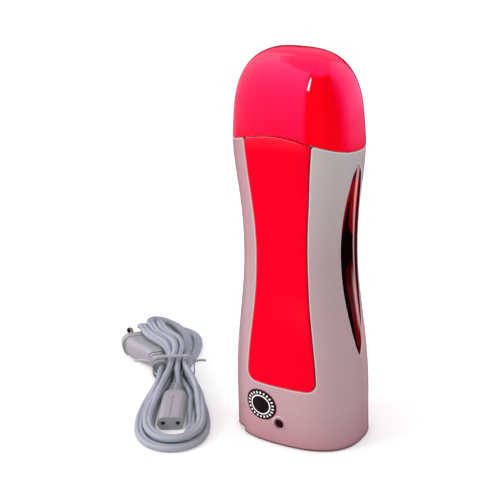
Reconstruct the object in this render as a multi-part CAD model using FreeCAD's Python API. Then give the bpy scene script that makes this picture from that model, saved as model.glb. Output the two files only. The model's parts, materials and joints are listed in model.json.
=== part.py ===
import FreeCAD, Part
import math
import os

os.makedirs("parts", exist_ok=True)
V = FreeCAD.Vector

# ---------------------------------------------------------------------------
# A hand-held, free-standing heater for roll-on wax cartridges, with a lift-off
# cap and a detachable mains cord set that lies beside it, folded in a hank.
# Millimetres. +Z up, origin on the table under the centre of the base,
# front face towards -Y, appliance inlet on the -X side.
# ---------------------------------------------------------------------------

# ------------------------------ driving dimensions -------------------------
HEIGHT = 220.0            # table to the top of the cap
SUP_N = 2.52              # exponent of the superelliptic cross-section
SECT_Z = [0.0, 12.0, 35.0, 65.0, 95.0, 120.0, 143.0, 160.0, 170.0, 181.5]
SECT_A = [37.5, 37.3, 37.2, 34.9, 31.8, 31.4, 33.1, 35.05, 35.5, 34.8]   # half widths
DEPTH_RATIO = 0.74        # depth over width, body
DEPTH_RATIO_CAP = 0.755   # depth over width, cap
DOME_Z = 181.5            # where the dome of the cap starts
DOME_PA = 2.95            # dome exponent seen from the front
DOME_PB = 2.38            # dome exponent seen from the side
DOME_DRAFT = 0.07         # the dome's half width shrinks this much per millimetre of height
WALL = 2.2                # shell wall
CAP_WALL = 1.6            # cap wall
SKIRT_Z = 0.5             # lower edge of the shells above the table
SEAM = 0.06               # half gap between the front and the rear shell

RIM_X = [0.0, 5.0, 9.4, 13.3, 17.8, 22.0, 26.0, 30.0, 33.0, 35.5, 40.0, 50.0]
RIM_Z = [175.9, 175.7, 175.15, 174.4, 173.4, 172.4, 171.4, 170.3, 169.5, 168.7, 167.4, 164.5]
RIM_TILT = 0.095          # the rim falls this much per millimetre towards the rear
CAP_GAP = 0.28            # gap between the cap's edge and the body's rim

PANEL_Z = [36.2, 41.5, 49.0, 56.4, 64.0, 71.0, 78.0, 85.0, 92.0, 99.0, 106.0, 113.0,
           120.0, 127.0, 134.0, 140.0, 147.0, 154.0, 161.0, 167.7, 172.6, 182.0]
PANEL_W = [21.5, 21.2, 20.7, 19.95, 19.05, 18.2, 17.35, 16.65, 16.1, 15.75, 15.5, 15.4,
           15.5, 15.8, 16.3, 16.85, 17.45, 18.05, 18.65, 19.25, 19.7, 20.5]
PANEL_R = 5.6             # radius of the panel's lower corners
PANEL_PROUD = 0.25
PANEL_DEPTH = 1.0

WIN_Z = [51.5, 55.0, 60.0, 67.5, 75.0, 84.0, 95.0, 106.5, 118.0, 127.0, 136.0, 144.0, 151.0, 156.5, 161.5]
WIN_W = [0.0, 2.1, 3.9, 5.75, 7.1, 8.35, 9.3, 9.85, 10.0, 9.75, 9.05, 7.85, 6.3, 4.4, 0.0]

NOTCH_X = -25.6           # the lower edge is raised on the left of this
NOTCH_H = 3.6             # there, and less further left
NOTCH_SLOPE = 0.29

PLATE_Z0, PLATE_Z1 = 3.6, 5.4          # base plate
FEET = [(19.0, 15.5), (-19.0, 15.5), (19.0, -15.5), (-19.0, -15.5)]
BASE_SCREWS = [(11.0, 21.3), (-11.0, 21.3), (11.0, -21.3), (-11.0, -21.3)]
REAR_SCREW_X, REAR_SCREW_Z = 24.0, 44.0

INLET_Z = 11.5            # height of the appliance inlet's axis
INLET_FACE = -31.0        # its face, sunk in a pocket of the left side
PIN_PITCH, PIN_R = 8.6, 1.2

LAMP_Z = 13.9
BADGE_X, BADGE_Z, BADGE_RX, BADGE_RZ = -11.9, 22.8, 10.3, 9.2

WELL_A, WELL_B, WELL_R = 26.6, 16.8, 13.7   # inside of the cartridge chamber
CH_WALL = 0.8
CH_FLOOR = 63.0           # top of the chamber's floor
COLLAR_Z0, COLLAR_Z1 = 164.9, 186.0
DECK_Z0, DECK_Z1 = 180.5, 183.0

HANK_POS = (-99.0, 15.0)  # the tie of the folded cord, on the table
HANK_YAW = 31.1

# ------------------------------ helpers ------------------------------------


def natural_spline(xs, ys):
    n = len(xs)
    h = [xs[i + 1] - xs[i] for i in range(n - 1)]
    al = [0.0] * n
    for i in range(1, n - 1):
        al[i] = 3 * (ys[i + 1] - ys[i]) / h[i] - 3 * (ys[i] - ys[i - 1]) / h[i - 1]
    l, mu, z = [1.0] * n, [0.0] * n, [0.0] * n
    for i in range(1, n - 1):
        l[i] = 2 * (xs[i + 1] - xs[i - 1]) - h[i - 1] * mu[i - 1]
        mu[i] = h[i] / l[i]
        z[i] = (al[i] - h[i - 1] * z[i - 1]) / l[i]
    c, b, d = [0.0] * n, [0.0] * (n - 1), [0.0] * (n - 1)
    for j in range(n - 2, -1, -1):
        c[j] = z[j] - mu[j] * c[j + 1]
        b[j] = (ys[j + 1] - ys[j]) / h[j] - h[j] * (c[j + 1] + 2 * c[j]) / 3
        d[j] = (c[j + 1] - c[j]) / (3 * h[j])

    def f(x):
        j = 0
        while j < n - 2 and x > xs[j + 1]:
            j += 1
        t = x - xs[j]
        return ys[j] + b[j] * t + c[j] * t * t + d[j] * t ** 3
    return f


body_a = natural_spline(SECT_Z, SECT_A)


def half_width(z, d=0.0, top=HEIGHT):
    """Half width of the outside at height z, drawn in by d; the dome ends at top."""
    if z <= DOME_Z:
        return body_a(z) - d
    t = min(1.0, (z - DOME_Z) / (top - DOME_Z))
    return (SECT_A[-1] - DOME_DRAFT * (z - DOME_Z) - d) * max(0.0, 1 - t ** DOME_PA) ** (1 / DOME_PA)


def half_depth(z, d=0.0, top=HEIGHT):
    k = min(1.0, max(0.0, (z - 163.0) / (DOME_Z - 163.0)))
    k = k * k * (3 - 2 * k)
    ratio = DEPTH_RATIO + (DEPTH_RATIO_CAP - DEPTH_RATIO) * k
    if z <= DOME_Z:
        return ratio * body_a(z) - d
    t = min(1.0, (z - DOME_Z) / (top - DOME_Z))
    return (ratio * (SECT_A[-1] - DOME_DRAFT * (z - DOME_Z)) - d) * max(0.0, 1 - t ** DOME_PB) ** (1 / DOME_PB)


def skin_y(x, z, d=0.0):
    """Distance of the outside from the XZ plane at x and z."""
    a, b = half_width(z, d), half_depth(z, d)
    return b * max(0.0, 1 - abs(x / a) ** SUP_N) ** (1 / SUP_N)


def sup_wire(z, a, b, n=SUP_N, count=40, seam=10):
    """Closed superelliptic section; `seam` is the point where the curve closes (10 rear, 30 front)."""
    pts = []
    for i in range(count):
        t = 2 * math.pi * (i + seam + 0.5) / count
        c, s = math.cos(t), math.sin(t)
        pts.append(V(a * math.copysign(abs(c) ** (2 / n), c), b * math.copysign(abs(s) ** (2 / n), s), z))
    bs = Part.BSplineCurve()
    bs.interpolate(Points=pts, PeriodicFlag=True)
    return Part.Wire([bs.toShape()])


BODY_LEVELS = [-3.0, 3.0, 9.0, 17.0, 27.0, 36.0, 46.0, 56.0, 66.0, 76.0, 86.0, 96.0, 106.0,
               115.0, 124.0, 133.0, 142.0, 151.0, 159.0, 166.0, 173.0, 181.0, 190.0]
made = {}


def body_solid(d, seam=10):
    """The body's outside drawn in by d, as one plain loft from under the base to above the rim."""
    if (d, seam) not in made:
        wires = []
        for z in BODY_LEVELS:
            zz = min(max(z, 0.0), DOME_Z)
            wires.append(sup_wire(z, half_width(zz) - d, half_depth(zz) - d, seam=seam))
        made[(d, seam)] = Part.makeLoft(wires, True, False, False)
    return made[(d, seam)]


def outside(seam=10):
    """The body's outside, with its lower edge rounded."""
    wires = []
    for z, d in ((SKIRT_Z, 1.25), (0.85, 0.62), (1.4, 0.22), (2.3, 0.03), (4.0, 0.0)):
        wires.append(sup_wire(z, half_width(z) - d, half_depth(z) - d, seam=seam))
    for z in [9.0] + [q for q in BODY_LEVELS if q > 10.0]:
        zz = min(z, DOME_Z)
        wires.append(sup_wire(z, half_width(zz), half_depth(zz), seam=seam))
    return Part.makeLoft(wires, True, False, False)


def cap_solid(d, z0, top):
    zs = [z0, 170.0, 176.0, 181.5, 187.0, 192.0, 196.5, 200.5, 204.0, 207.0, 209.7, 212.0, 214.0, 215.6, 216.9,
          217.9, 218.7, 219.3, 219.7]
    wires = []
    for z in zs:
        if z <= DOME_Z:
            zz = z
        else:
            zz = DOME_Z + (z - DOME_Z) * (top - DOME_Z) / (HEIGHT - DOME_Z)
        a, b = half_width(zz, d, top), half_depth(zz, d, top)
        wires.append(sup_wire(zz, a, b))
    return Part.makeLoft(wires, True, False, False)


def spline_edge(pts):
    bs = Part.BSplineCurve()
    bs.interpolate(Points=pts)
    return bs.toShape()


def above_rim(dz=0.0, extra=70.0):
    """Everything above the arched, slightly tilted rim between body and cap."""
    y0 = -60.0
    pts = []
    for x, z in list(zip(RIM_X, RIM_Z))[:0:-1]:
        pts.append(V(-x, y0, z + dz - RIM_TILT * y0))
    for x, z in zip(RIM_X, RIM_Z):
        pts.append(V(x, y0, z + dz - RIM_TILT * y0))
    e = spline_edge(pts)
    zt = pts[-1].z + extra
    lines = [Part.makeLine(pts[-1], V(50, y0, zt)), Part.makeLine(V(50, y0, zt), V(-50, y0, zt)),
             Part.makeLine(V(-50, y0, zt), pts[0])]
    f = Part.Face(Part.Wire([e] + lines))
    return f.extrude(V(0, 120.0, -RIM_TILT * 120.0))


def box(x0, x1, y0, y1, z0, z1):
    return Part.makeBox(x1 - x0, y1 - y0, z1 - z0, V(x0, y0, z0))


def cyl(r, p, q):
    d = V(*q).sub(V(*p))
    return Part.makeCylinder(r, d.Length, V(*p), d)


def round_rect_wire(a, b, r, z, n_dir="z"):
    """Rounded rectangle of half sizes a, b at height z."""
    r = min(r, a - 0.01, b - 0.01)
    k = r * math.sqrt(0.5)
    P = lambda x, y: V(x, y, z)
    e = [
        Part.makeLine(P(-a + r, -b), P(a - r, -b)),
        Part.Arc(P(a - r, -b), P(a - r + k, -b + r - k), P(a, -b + r)).toShape(),
        Part.makeLine(P(a, -b + r), P(a, b - r)),
        Part.Arc(P(a, b - r), P(a - r + k, b - r + k), P(a - r, b)).toShape(),
        Part.makeLine(P(a - r, b), P(-a + r, b)),
        Part.Arc(P(-a + r, b), P(-a + r - k, b - r + k), P(-a, b - r)).toShape(),
        Part.makeLine(P(-a, b - r), P(-a, -b + r)),
        Part.Arc(P(-a, -b + r), P(-a + r - k, -b + r - k), P(-a + r, -b)).toShape(),
    ]
    return Part.Wire(e)


def rr_prism(a, b, r, z0, z1):
    return Part.Face(round_rect_wire(a, b, r, z0)).extrude(V(0, 0, z1 - z0))


def panel_wire(y, grow=0.0, top=182.0):
    """Outline of the front panel in the plane y, grown by `grow`."""
    z0 = PANEL_Z[0] - grow
    r = PANEL_R + grow
    k = r * (1 - math.sqrt(0.5))
    right = [V(PANEL_W[1] + 0.12 + grow, y, z0 + r)]
    for z, w in zip(PANEL_Z, PANEL_W):
        if z > z0 + r + 3.0:
            right.append(V(w + grow, y, z))
    right[-1] = V(right[-1].x, y, top)
    left = [V(-p.x, y, p.z) for p in right]
    wb = right[0].x
    e = [
        Part.makeLine(V(-wb + r, y, z0), V(wb - r, y, z0)),
        Part.Arc(V(wb - r, y, z0), V(wb - k, y, z0 + k), right[0]).toShape(),
        spline_edge(right),
        Part.makeLine(right[-1], left[-1]),
        spline_edge(left[::-1]),
        Part.Arc(left[0], V(-wb + k, y, z0 + k), V(-wb + r, y, z0)).toShape(),
    ]
    return Part.Wire(e)


def window_wire(x, grow=0.0):
    """Lens-shaped outline of a side window in the plane x, grown by `grow`."""
    zc = 0.5 * (WIN_Z[0] + WIN_Z[-1])
    f = 1 + grow / (0.5 * (WIN_Z[-1] - WIN_Z[0]))
    front, rear = [], []
    for i, (z, w) in enumerate(zip(WIN_Z, WIN_W)):
        zz = zc + (z - zc) * f
        ww = w + (grow if 0 < i < len(WIN_Z) - 1 else 0.0)
        if i in (1, len(WIN_Z) - 2):
            ww = w + 0.75 * grow
        front.append(V(x, -ww, zz))
        rear.append(V(x, ww, zz))
    return Part.Wire([spline_edge(front), spline_edge(rear[::-1])])


def window_prism(grow, sign, x0=12.0, x1=48.0, flare=0.0):
    if flare:
        w0, w1 = window_wire(x0, grow), window_wire(x1, grow + flare)
        s = Part.makeLoft([w0, w1], True, True, False)
    else:
        s = Part.Face(window_wire(x0, grow)).extrude(V(x1 - x0, 0, 0))
    if sign < 0:
        s = s.mirror(V(0, 0, 0), V(1, 0, 0))
    return s


def tube(points, r, bend):
    """Round tube along straight runs joined by tangent arcs."""
    pts = [V(*p) for p in points]
    edges, last = [], pts[0]
    for i in range(1, len(pts) - 1):
        a, b, c = pts[i - 1], pts[i], pts[i + 1]
        u1, u2 = b.sub(a), c.sub(b)
        l1, l2 = u1.Length, u2.Length
        u1.normalize()
        u2.normalize()
        ang = u1.getAngle(u2)
        t = min(bend * math.tan(ang / 2), 0.45 * min(l1, l2))
        rad = t / math.tan(ang / 2)
        p1, p2 = b.sub(u1 * t), b.add(u2 * t)
        n = u2.sub(u1)
        n.normalize()
        m = b.add(n * (rad / math.cos(ang / 2) - rad))
        edges.append(Part.makeLine(last, p1))
        edges.append(Part.Arc(p1, m, p2).toShape())
        last = p2
    edges.append(Part.makeLine(last, pts[-1]))
    w = Part.Wire(edges)
    d = pts[1].sub(pts[0])
    prof = Part.Wire([Part.makeCircle(r, pts[0], d)])
    return w.makePipeShell([prof], True, True)


def one(shape):
    """The single solid of a shape."""
    s = shape
    sol = sorted(s.Solids, key=lambda q: -q.Volume)
    if len(sol) == 1:
        return sol[0]
    if len(sol) > 1 and sol[1].Volume < 0.5:
        return sol[0]
    return s


NODES = {}


def put(name, shape):
    sols = shape.Solids
    bad = [i for i, s in enumerate(sols) if not s.isValid()]
    print("%-24s solids %d vol %.1f%s" % (name, len(sols), sum(s.Volume for s in sols), " INVALID" if bad else ""))
    if len(sols) > 1:
        shape = Part.makeCompound(sols)
    else:
        shape = sols[0]
    NODES[name] = shape
    shape.exportStep("parts/" + name + ".step")


# ------------------------------ outer casing -------------------------------
lid_space = above_rim(0.0)
arch_out = Part.Face(Part.Wire([
    Part.makeLine(V(-48, -13.6, NOTCH_H - 1), V(-48, 13.6, NOTCH_H - 1)),
    Part.makeLine(V(-48, 13.6, NOTCH_H - 1), V(-48, 13.6, 13.6)),
    Part.Arc(V(-48, 13.6, 13.6), V(-48, 11.2, 19.2), V(-48, 5.6, 21.5)).toShape(),
    Part.makeLine(V(-48, 5.6, 21.5), V(-48, -5.6, 21.5)),
    Part.Arc(V(-48, -5.6, 21.5), V(-48, -11.2, 19.2), V(-48, -13.6, 13.6)).toShape(),
    Part.makeLine(V(-48, -13.6, 13.6), V(-48, -13.6, NOTCH_H - 1)),
])).extrude(V(18.5, 0, 0))
arch_in = Part.Face(Part.Wire([
    Part.makeLine(V(-49, -12.0, -2), V(-49, 12.0, -2)),
    Part.makeLine(V(-49, 12.0, -2), V(-49, 12.0, 13.5)),
    Part.Arc(V(-49, 12.0, 13.5), V(-49, 9.8, 18.0), V(-49, 5.0, 20.0)).toShape(),
    Part.makeLine(V(-49, 5.0, 20.0), V(-49, -5.0, 20.0)),
    Part.Arc(V(-49, -5.0, 20.0), V(-49, -9.8, 18.0), V(-49, -12.0, 13.5)).toShape(),
    Part.makeLine(V(-49, -12.0, 13.5), V(-49, -12.0, -2)),
])).extrude(V(18.0, 0, 0))
notch = Part.Face(Part.makePolygon([V(NOTCH_X, -60, NOTCH_H), V(NOTCH_X, -60, -12),
                                    V(-60, -60, -12), V(-60, -60, NOTCH_H + NOTCH_SLOPE * (NOTCH_X + 60) * -1.0),
                                    V(NOTCH_X, -60, NOTCH_H)])).extrude(V(0, 120, 0))
inlet_hole = box(-34, -26, -9.6, 9.6, INLET_Z - 5.3, INLET_Z + 5.3)
yl = skin_y(0, LAMP_Z)


def shell_half(side):
    """One half of the casing: side -1 is the front half, +1 the rear half."""
    seam = 10 if side < 0 else 30
    y0, y1 = (-60, -SEAM) if side < 0 else (SEAM, 60)
    half = box(-60, 60, y0, y1, -5, 200)
    outer = outside(seam).common(half)
    s = outer.cut(lid_space).cut(body_solid(WALL, seam))
    # ledge that carries the collar
    ledge = body_solid(WALL - 0.2, seam).cut(body_solid(4.2, seam)).common(box(-60, 60, y0, y1, 163.2, 164.8))
    s = s.fuse(ledge)
    # pocket for the appliance inlet on the left, the raised lower edge and the side windows
    pocket = arch_out.common(outer).common(box(-60, 0, y0, y1, NOTCH_H, 60))
    s = s.fuse(pocket).cut(arch_in).cut(notch).cut(inlet_hole)
    for w in (1, -1):
        s = s.cut(window_prism(0.0, w))
    return s


front = shell_half(-1)
rear = shell_half(1)

# recess for the front panel
recess = Part.Face(panel_wire(-45.0, 0.16, 186.0)).extrude(V(0, 44, 0)).cut(body_solid(PANEL_DEPTH))
front = front.cut(recess)

# raised ring and hole for the pilot lamp
ring = Part.makeCylinder(4.1, 6.0, V(0, -yl - 0.55, LAMP_Z), V(0, 1, 0)).fuse(
    Part.makeTorus(3.45, 0.65, V(0, -yl - 0.55, LAMP_Z), V(0, 1, 0)))
ring = ring.cut(Part.makeCylinder(2.85, 12.0, V(0, -yl - 3, LAMP_Z), V(0, 1, 0)))
ring = ring.cut(body_solid(1.0))
front = front.cut(Part.makeCylinder(2.85, 12.0, V(0, -yl - 3, LAMP_Z), V(0, 1, 0))).fuse(ring)

# screw bosses over the base plate
for (x, y) in BASE_SCREWS:
    b = cyl(3.7, (x, y, PLATE_Z1 + 0.1), (x, y, 17.0))
    w = box(x - 1.2, x + 1.2, min(y, y * 1.35), max(y, y * 1.35), PLATE_Z1 + 0.1, 17.0)
    b = b.fuse(w).common(body_solid(WALL * 0.5, 10 if y < 0 else 30)).cut(cyl(1.34, (x, y, 5.0), (x, y, 15.0)))
    if y < 0:
        front = front.fuse(b)
    else:
        rear = rear.fuse(b)

# long screw posts joining the two halves
for s in (1, -1):
    x, z = s * REAR_SCREW_X, REAR_SCREW_Z
    post = cyl(3.7, (x, -30, z), (x, -SEAM, z)).common(body_solid(WALL * 0.5)).cut(cyl(1.44, (x, -11, z), (x, 1, z)))
    front = front.fuse(post)
    post = cyl(4.6, (x, SEAM, z), (x, 30, z)).common(body_solid(WALL * 0.5, 30))
    rear = rear.fuse(post).cut(cyl(1.6, (x, -1, z), (x, 30, z))).cut(cyl(3.0, (x, 14.0, z), (x, 30, z)))

put("front_shell", one(front))
put("rear_shell", one(rear))

# ------------------------------ front panel --------------------------------
panel = Part.Face(panel_wire(-45.0, 0.0, 186.0)).extrude(V(0, 44, 0))
panel = panel.common(body_solid(-PANEL_PROUD)).cut(body_solid(PANEL_DEPTH - 0.03))
panel = panel.cut(above_rim(-0.12))
put("front_panel", one(panel))

# ------------------------------ side windows -------------------------------
for s, nm in ((1, "side_window_right"), (-1, "side_window_left")):
    lens = window_prism(-0.14, s).common(body_solid(0.3)).cut(body_solid(2.6))
    flange = window_prism(1.3, s).common(body_solid(WALL + 0.06)).cut(body_solid(3.1))
    put(nm, one(lens.fuse(flange)))

# ------------------------------ badge --------------------------------------
N = 48
bp = [V(BADGE_X + BADGE_RX * math.cos(2 * math.pi * i / N), -45, BADGE_Z + BADGE_RZ * math.sin(2 * math.pi * i / N))
      for i in range(N)]
bs = Part.BSplineCurve()
bs.interpolate(Points=bp, PeriodicFlag=True)
badge = Part.Face(Part.Wire([bs.toShape()])).extrude(V(0, 44, 0))
badge = badge.common(body_solid(-0.35)).cut(body_solid(-0.01))
put("badge", one(badge))

# ------------------------------ cap ----------------------------------------
cap = cap_solid(0.0, 160.0, HEIGHT).common(above_rim(CAP_GAP)).cut(cap_solid(CAP_WALL, 158.0, HEIGHT - CAP_WALL - 0.1))
put("cap", one(cap))

# ------------------------------ collar and chamber -------------------------
collar = body_solid(2.42).cut(body_solid(4.3)).common(
    box(-60, 60, -60, 60, COLLAR_Z0, COLLAR_Z1))
deck = body_solid(3.0).common(box(-60, 60, -60, 60, DECK_Z0, DECK_Z1))
deck = deck.cut(rr_prism(WELL_A + CH_WALL + 0.3, WELL_B + CH_WALL + 0.3, WELL_R + CH_WALL, 170, 190))
put("chamber_collar", one(collar.fuse(deck)))

ch = rr_prism(WELL_A + CH_WALL, WELL_B + CH_WALL, WELL_R + CH_WALL, CH_FLOOR - 1.0, DECK_Z1 + 1.0)
ch = ch.fuse(rr_prism(WELL_A + 2.9, WELL_B + 2.9, WELL_R + 2.9, DECK_Z1 + 0.03, DECK_Z1 + 1.0))
ch = ch.cut(rr_prism(WELL_A, WELL_B, WELL_R, CH_FLOOR, 200))
for s in (1, -1):
    ch = ch.fuse(cyl(3.5, (s * 19.0, 0, 58.63), (s * 19.0, 0, CH_FLOOR - 0.5)))
    ch = ch.cut(cyl(1.5, (s * 19.0, 0, 50), (s * 19.0, 0, CH_FLOOR - 1.0)))
slot = box(-60, 60, -4.5, 4.5, 79.5, 145.5).fuse(cyl(4.5, (-60, 0, 79.5), (60, 0, 79.5))).fuse(
    cyl(4.5, (-60, 0, 145.5), (60, 0, 145.5)))
ch = ch.cut(slot)
put("cartridge_chamber", one(ch))

# ------------------------------ heating stack ------------------------------
ins = rr_prism(15.0, 10.5, 1.0, 61.78, 61.98).fuse(rr_prism(15.0, 10.5, 1.0, 58.63, 58.8))
put("insulating_sheets", ins)
e_top = rr_prism(12.0, 8.0, 0.8, 61.4, 61.77).fuse(box(4.0, 8.8, -16.0, -7.9, 61.4, 61.77))
e_bot = rr_prism(12.0, 8.0, 0.8, 58.82, 59.2).fuse(box(-8.8, -4.0, -16.0, -7.9, 58.82, 59.2))
put("heater_electrodes", Part.makeCompound([e_top, e_bot]))
put("ptc_element", rr_prism(11.8, 7.8, 0.6, 59.22, 61.38))
clamp = rr_prism(23.0, 7.0, 2.0, 57.6, 58.6)
for s in (1, -1):
    clamp = clamp.cut(cyl(1.6, (s * 19.0, 0, 50), (s * 19.0, 0, 60)))
put("clamp_plate", clamp)


def pan_screw(p, axis, r, length, head_r, head_h):
    """Screw whose head bears at p; the shank runs along axis."""
    a = V(*axis)
    a.normalize()
    P = V(*p)
    shank = Part.makeCylinder(r, length, P, a)
    head = Part.makeCylinder(head_r, head_h, P, a * -1)
    edge = [e for e in head.Edges if e.Curve.TypeId == "Part::GeomCircle" and e.BoundBox.Center.distanceToPoint(P) > head_h * 0.6]
    head = head.makeFillet(head_h * 0.45, edge[:1])
    n = a.cross(V(0, 0, 1))
    if n.Length < 0.1:
        n = V(1, 0, 0)
    n.normalize()
    m = a.cross(n)
    cross = None
    for q, w in ((n, m), (m, n)):
        o = P.sub(a * (head_h + 0.1))
        b = Part.makePolygon([o + q * (head_r * 0.55) + w * 0.35, o - q * (head_r * 0.55) + w * 0.35,
                              o - q * (head_r * 0.55) - w * 0.35, o + q * (head_r * 0.55) - w * 0.35,
                              o + q * (head_r * 0.55) + w * 0.35])
        b = Part.Face(b).extrude(a * (head_h * 0.65))
        cross = b if cross is None else cross.fuse(b)
    return shank.fuse(head).cut(cross).removeSplitter()


put("clamp_screws", Part.makeCompound([pan_screw((s * 19.0, 0, 57.58), (0, 0, 1), 1.45, 4.2, 2.7, 1.5) for s in (1, -1)]))
fuse = cyl(2.0, (-5.5, 13.6, 59.85), (5.5, 13.6, 59.85)).fuse(cyl(0.5, (-10.5, 13.6, 59.85), (10.5, 13.6, 59.85)))
put("thermal_fuse", fuse)

# ------------------------------ inlet --------------------------------------
hs = box(INLET_FACE, -13.0, -9.4, 9.4, INLET_Z - 5.1, INLET_Z + 5.1)
hs = hs.makeFillet(1.6, [e for e in hs.Edges if abs(e.tangentAt(e.FirstParameter).x) > 0.9])
fl = box(-29.4, -27.6, -11.6, 11.6, INLET_Z - 6.0, INLET_Z + 6.0)
fl = fl.makeFillet(1.8, [e for e in fl.Edges if abs(e.tangentAt(e.FirstParameter).x) > 0.9])
cav = box(-33, -20.5, -3.8, 3.8, INLET_Z - 4.2, INLET_Z + 4.2)
for s in (1, -1):
    cav = cav.fuse(cyl(4.2, (-33, s * 3.8, INLET_Z), (-20.5, s * 3.8, INLET_Z)))
hs = hs.fuse(fl).cut(cav)
for s in (1, -1):
    hs = hs.cut(cyl(PIN_R, (-33, s * PIN_PITCH / 2, INLET_Z), (-10, s * PIN_PITCH / 2, INLET_Z)))
put("inlet_housing", one(hs))
pins = []
for s in (1, -1):
    y = s * PIN_PITCH / 2
    p = cyl(PIN_R - 0.02, (-29.6, y, INLET_Z), (-12.6, y, INLET_Z))
    tip = Part.makeCone(0.75, PIN_R - 0.02, 0.8, V(-30.4, y, INLET_Z), V(1, 0, 0))
    tab = box(-13.0, -6.5, y - 0.4, y + 0.4, INLET_Z - 1.6, INLET_Z + 1.6).cut(box(-20, -12.95, -20, 20, 0, 60))
    pins.append(one(p.fuse(tip).fuse(tab)))
put("inlet_pins", Part.makeCompound(pins))

# ------------------------------ base ---------------------------------------
plate = body_solid(WALL + 0.18).common(box(-60, 60, -60, 60, PLATE_Z0, PLATE_Z1))
plate = plate.cut(arch_out.fuse(box(-60, -29.3, -13.8, 13.8, 0, 10)))
for (x, y) in BASE_SCREWS:
    plate = plate.cut(cyl(1.5, (x, y, 0), (x, y, 10)))
for (x, y) in FEET:
    plate = plate.cut(cyl(2.05, (x, y, 0), (x, y, 10)))
put("base_plate", one(plate))
feet = []
for (x, y) in FEET:
    f = Part.makeCone(4.0, 4.6, 1.2, V(x, y, 0), V(0, 0, 1)).fuse(cyl(4.6, (x, y, 1.19), (x, y, PLATE_Z0 - 0.02)))
    f = f.fuse(cyl(2.0, (x, y, 3.0), (x, y, PLATE_Z1 + 0.3))).fuse(
        Part.makeCone(2.7, 1.6, 1.6, V(x, y, PLATE_Z1 + 0.05), V(0, 0, 1)))
    feet.append(one(f))
put("rubber_feet", Part.makeCompound(feet))
put("base_screws", Part.makeCompound([pan_screw((x, y, PLATE_Z0 - 0.02), (0, 0, 1), 1.3, 10.5, 2.5, 1.7) for x, y in BASE_SCREWS]))
put("case_screws", Part.makeCompound([pan_screw((s * REAR_SCREW_X, 14.02, REAR_SCREW_Z), (0, -1, 0), 1.4, 23.0, 2.7, 1.8)
                                      for s in (1, -1)]))

# ------------------------------ pilot lamp ---------------------------------
lens = cyl(2.7, (0, -yl + 0.35, LAMP_Z), (0, -yl + 3.2, LAMP_Z))
ball = Part.makeSphere(4.4, V(0, -yl + 4.15, LAMP_Z)).common(cyl(2.7, (0, -yl - 3, LAMP_Z), (0, -yl + 0.4, LAMP_Z)))
lens = lens.fuse(ball).fuse(cyl(4.2, (0, -yl + WALL + 0.15, LAMP_Z), (0, -yl + WALL + 1.2, LAMP_Z)))
lens = lens.cut(cyl(1.9, (0, -yl + 1.2, LAMP_Z), (0, -yl + 6, LAMP_Z)))
put("pilot_lens", one(lens))
bulb = cyl(2.4, (0, -yl + 4.6, LAMP_Z), (0, -yl + 13.0, LAMP_Z)).fuse(Part.makeSphere(2.4, V(0, -yl + 13.0, LAMP_Z)).common(
    box(-5, 5, -yl + 13.0, 0, 0, 40))).fuse(Part.makeCone(0.5, 2.4, 1.2, V(0, -yl + 3.4, LAMP_Z), V(0, 1, 0)))
put("neon_lamp", one(bulb))
res = cyl(1.1, (6.0, -6.5, 17.0), (12.5, -6.5, 17.0)).fuse(cyl(1.35, (6.0, -6.5, 17.0), (7.2, -6.5, 17.0))).fuse(
    cyl(1.35, (11.3, -6.5, 17.0), (12.5, -6.5, 17.0)))
put("lamp_resistor", one(res))

# ------------------------------ internal wiring ----------------------------
wz = INLET_Z
put("live_wire", tube([(-5.9, 4.3, wz), (1.5, 5.5, wz + 1), (5.0, 11.0, wz + 9), (12.0, 13.5, 35.0), (15.5, 13.6, 52.0), (15.5, 13.6, 59.85),
                       (10.7, 13.6, 59.85)], 0.85, 3.5))
put("fuse_wire", tube([(-10.7, 13.6, 59.85), (-15.8, 13.4, 58.0), (-17.0, 3.0, 52.5), (-14.0, -10.0, 52.0), (-6.4, -17.5, 55.5), (-6.4, -17.4, 59.0), (-6.4, -16.1, 59.01)], 0.85, 3.0))
put("neutral_wire", tube([(-5.9, -4.3, wz), (1.0, -3.0, wz + 5), (3.0, -2.0, 30.0), (8.0, -8.0, 45.0), (6.4, -18.2, 55.0), (6.4, -18.3, 60.3), (6.4, -16.2, 61.08)], 0.85, 3.0))
lw1 = tube([(-6.3, 1.9, wz + 2.2), (0.0, 0.5, wz + 5.0), (3.6, -2.5, 17.0), (3.9, -6.4, 17.0), (5.9, -6.5, 17.0)], 0.45, 1.6)
lw2 = tube([(12.6, -6.5, 17.0), (15.6, -7.5, 17.0), (14.5, -11.3, 14.6), (6.5, -11.2, 14.6), (1.0, -11.9, 14.6)], 0.45, 1.6)
lw3 = tube([(-6.3, -7.4, wz + 1.0), (-4.0, -9.4, 13.0), (-2.6, -11.2, 13.4), (-0.9, -12.0, 13.2)], 0.45, 1.4)
put("lamp_leads", Part.makeCompound([lw1, lw2, lw3]))

# ------------------------------ cord set -----------------------------------
# Local frame of the folded cord: X across, Y along its length, Z up, on the table.
LOOP_TOP = [(10.2, 2.0), (12.0, 13.0), (15.0, 28.0), (16.8, 45.0), (14.6, 57.0), (8.0, 67.5), (-2.0, 73.2), (-12.0, 73.8),
            (-20.0, 69.5), (-24.6, 60.5), (-24.4, 50.0), (-21.6, 39.0), (-17.0, 27.0), (-13.4, 14.0), (-12.0, 2.0)]
LOOP_LOW = [(-11.6, -6.0), (-12.0, -22.0), (-15.2, -38.0), (-19.2, -54.0), (-20.6, -68.0), (-17.2, -80.5), (-8.5, -89.5), (2.5, -92.4),
            (12.5, -88.6), (19.8, -79.0), (23.2, -66.0), (22.4, -52.0), (18.6, -36.0), (13.6, -20.0), (10.6, -8.0)]
pts = [V(x, y, 0.05) for x, y in LOOP_TOP + LOOP_LOW]
bs = Part.BSplineCurve()
bs.interpolate(Points=pts, PeriodicFlag=True)
hank = Part.Face(Part.Wire([bs.toShape()])).extrude(V(0, 0, 30))
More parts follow.
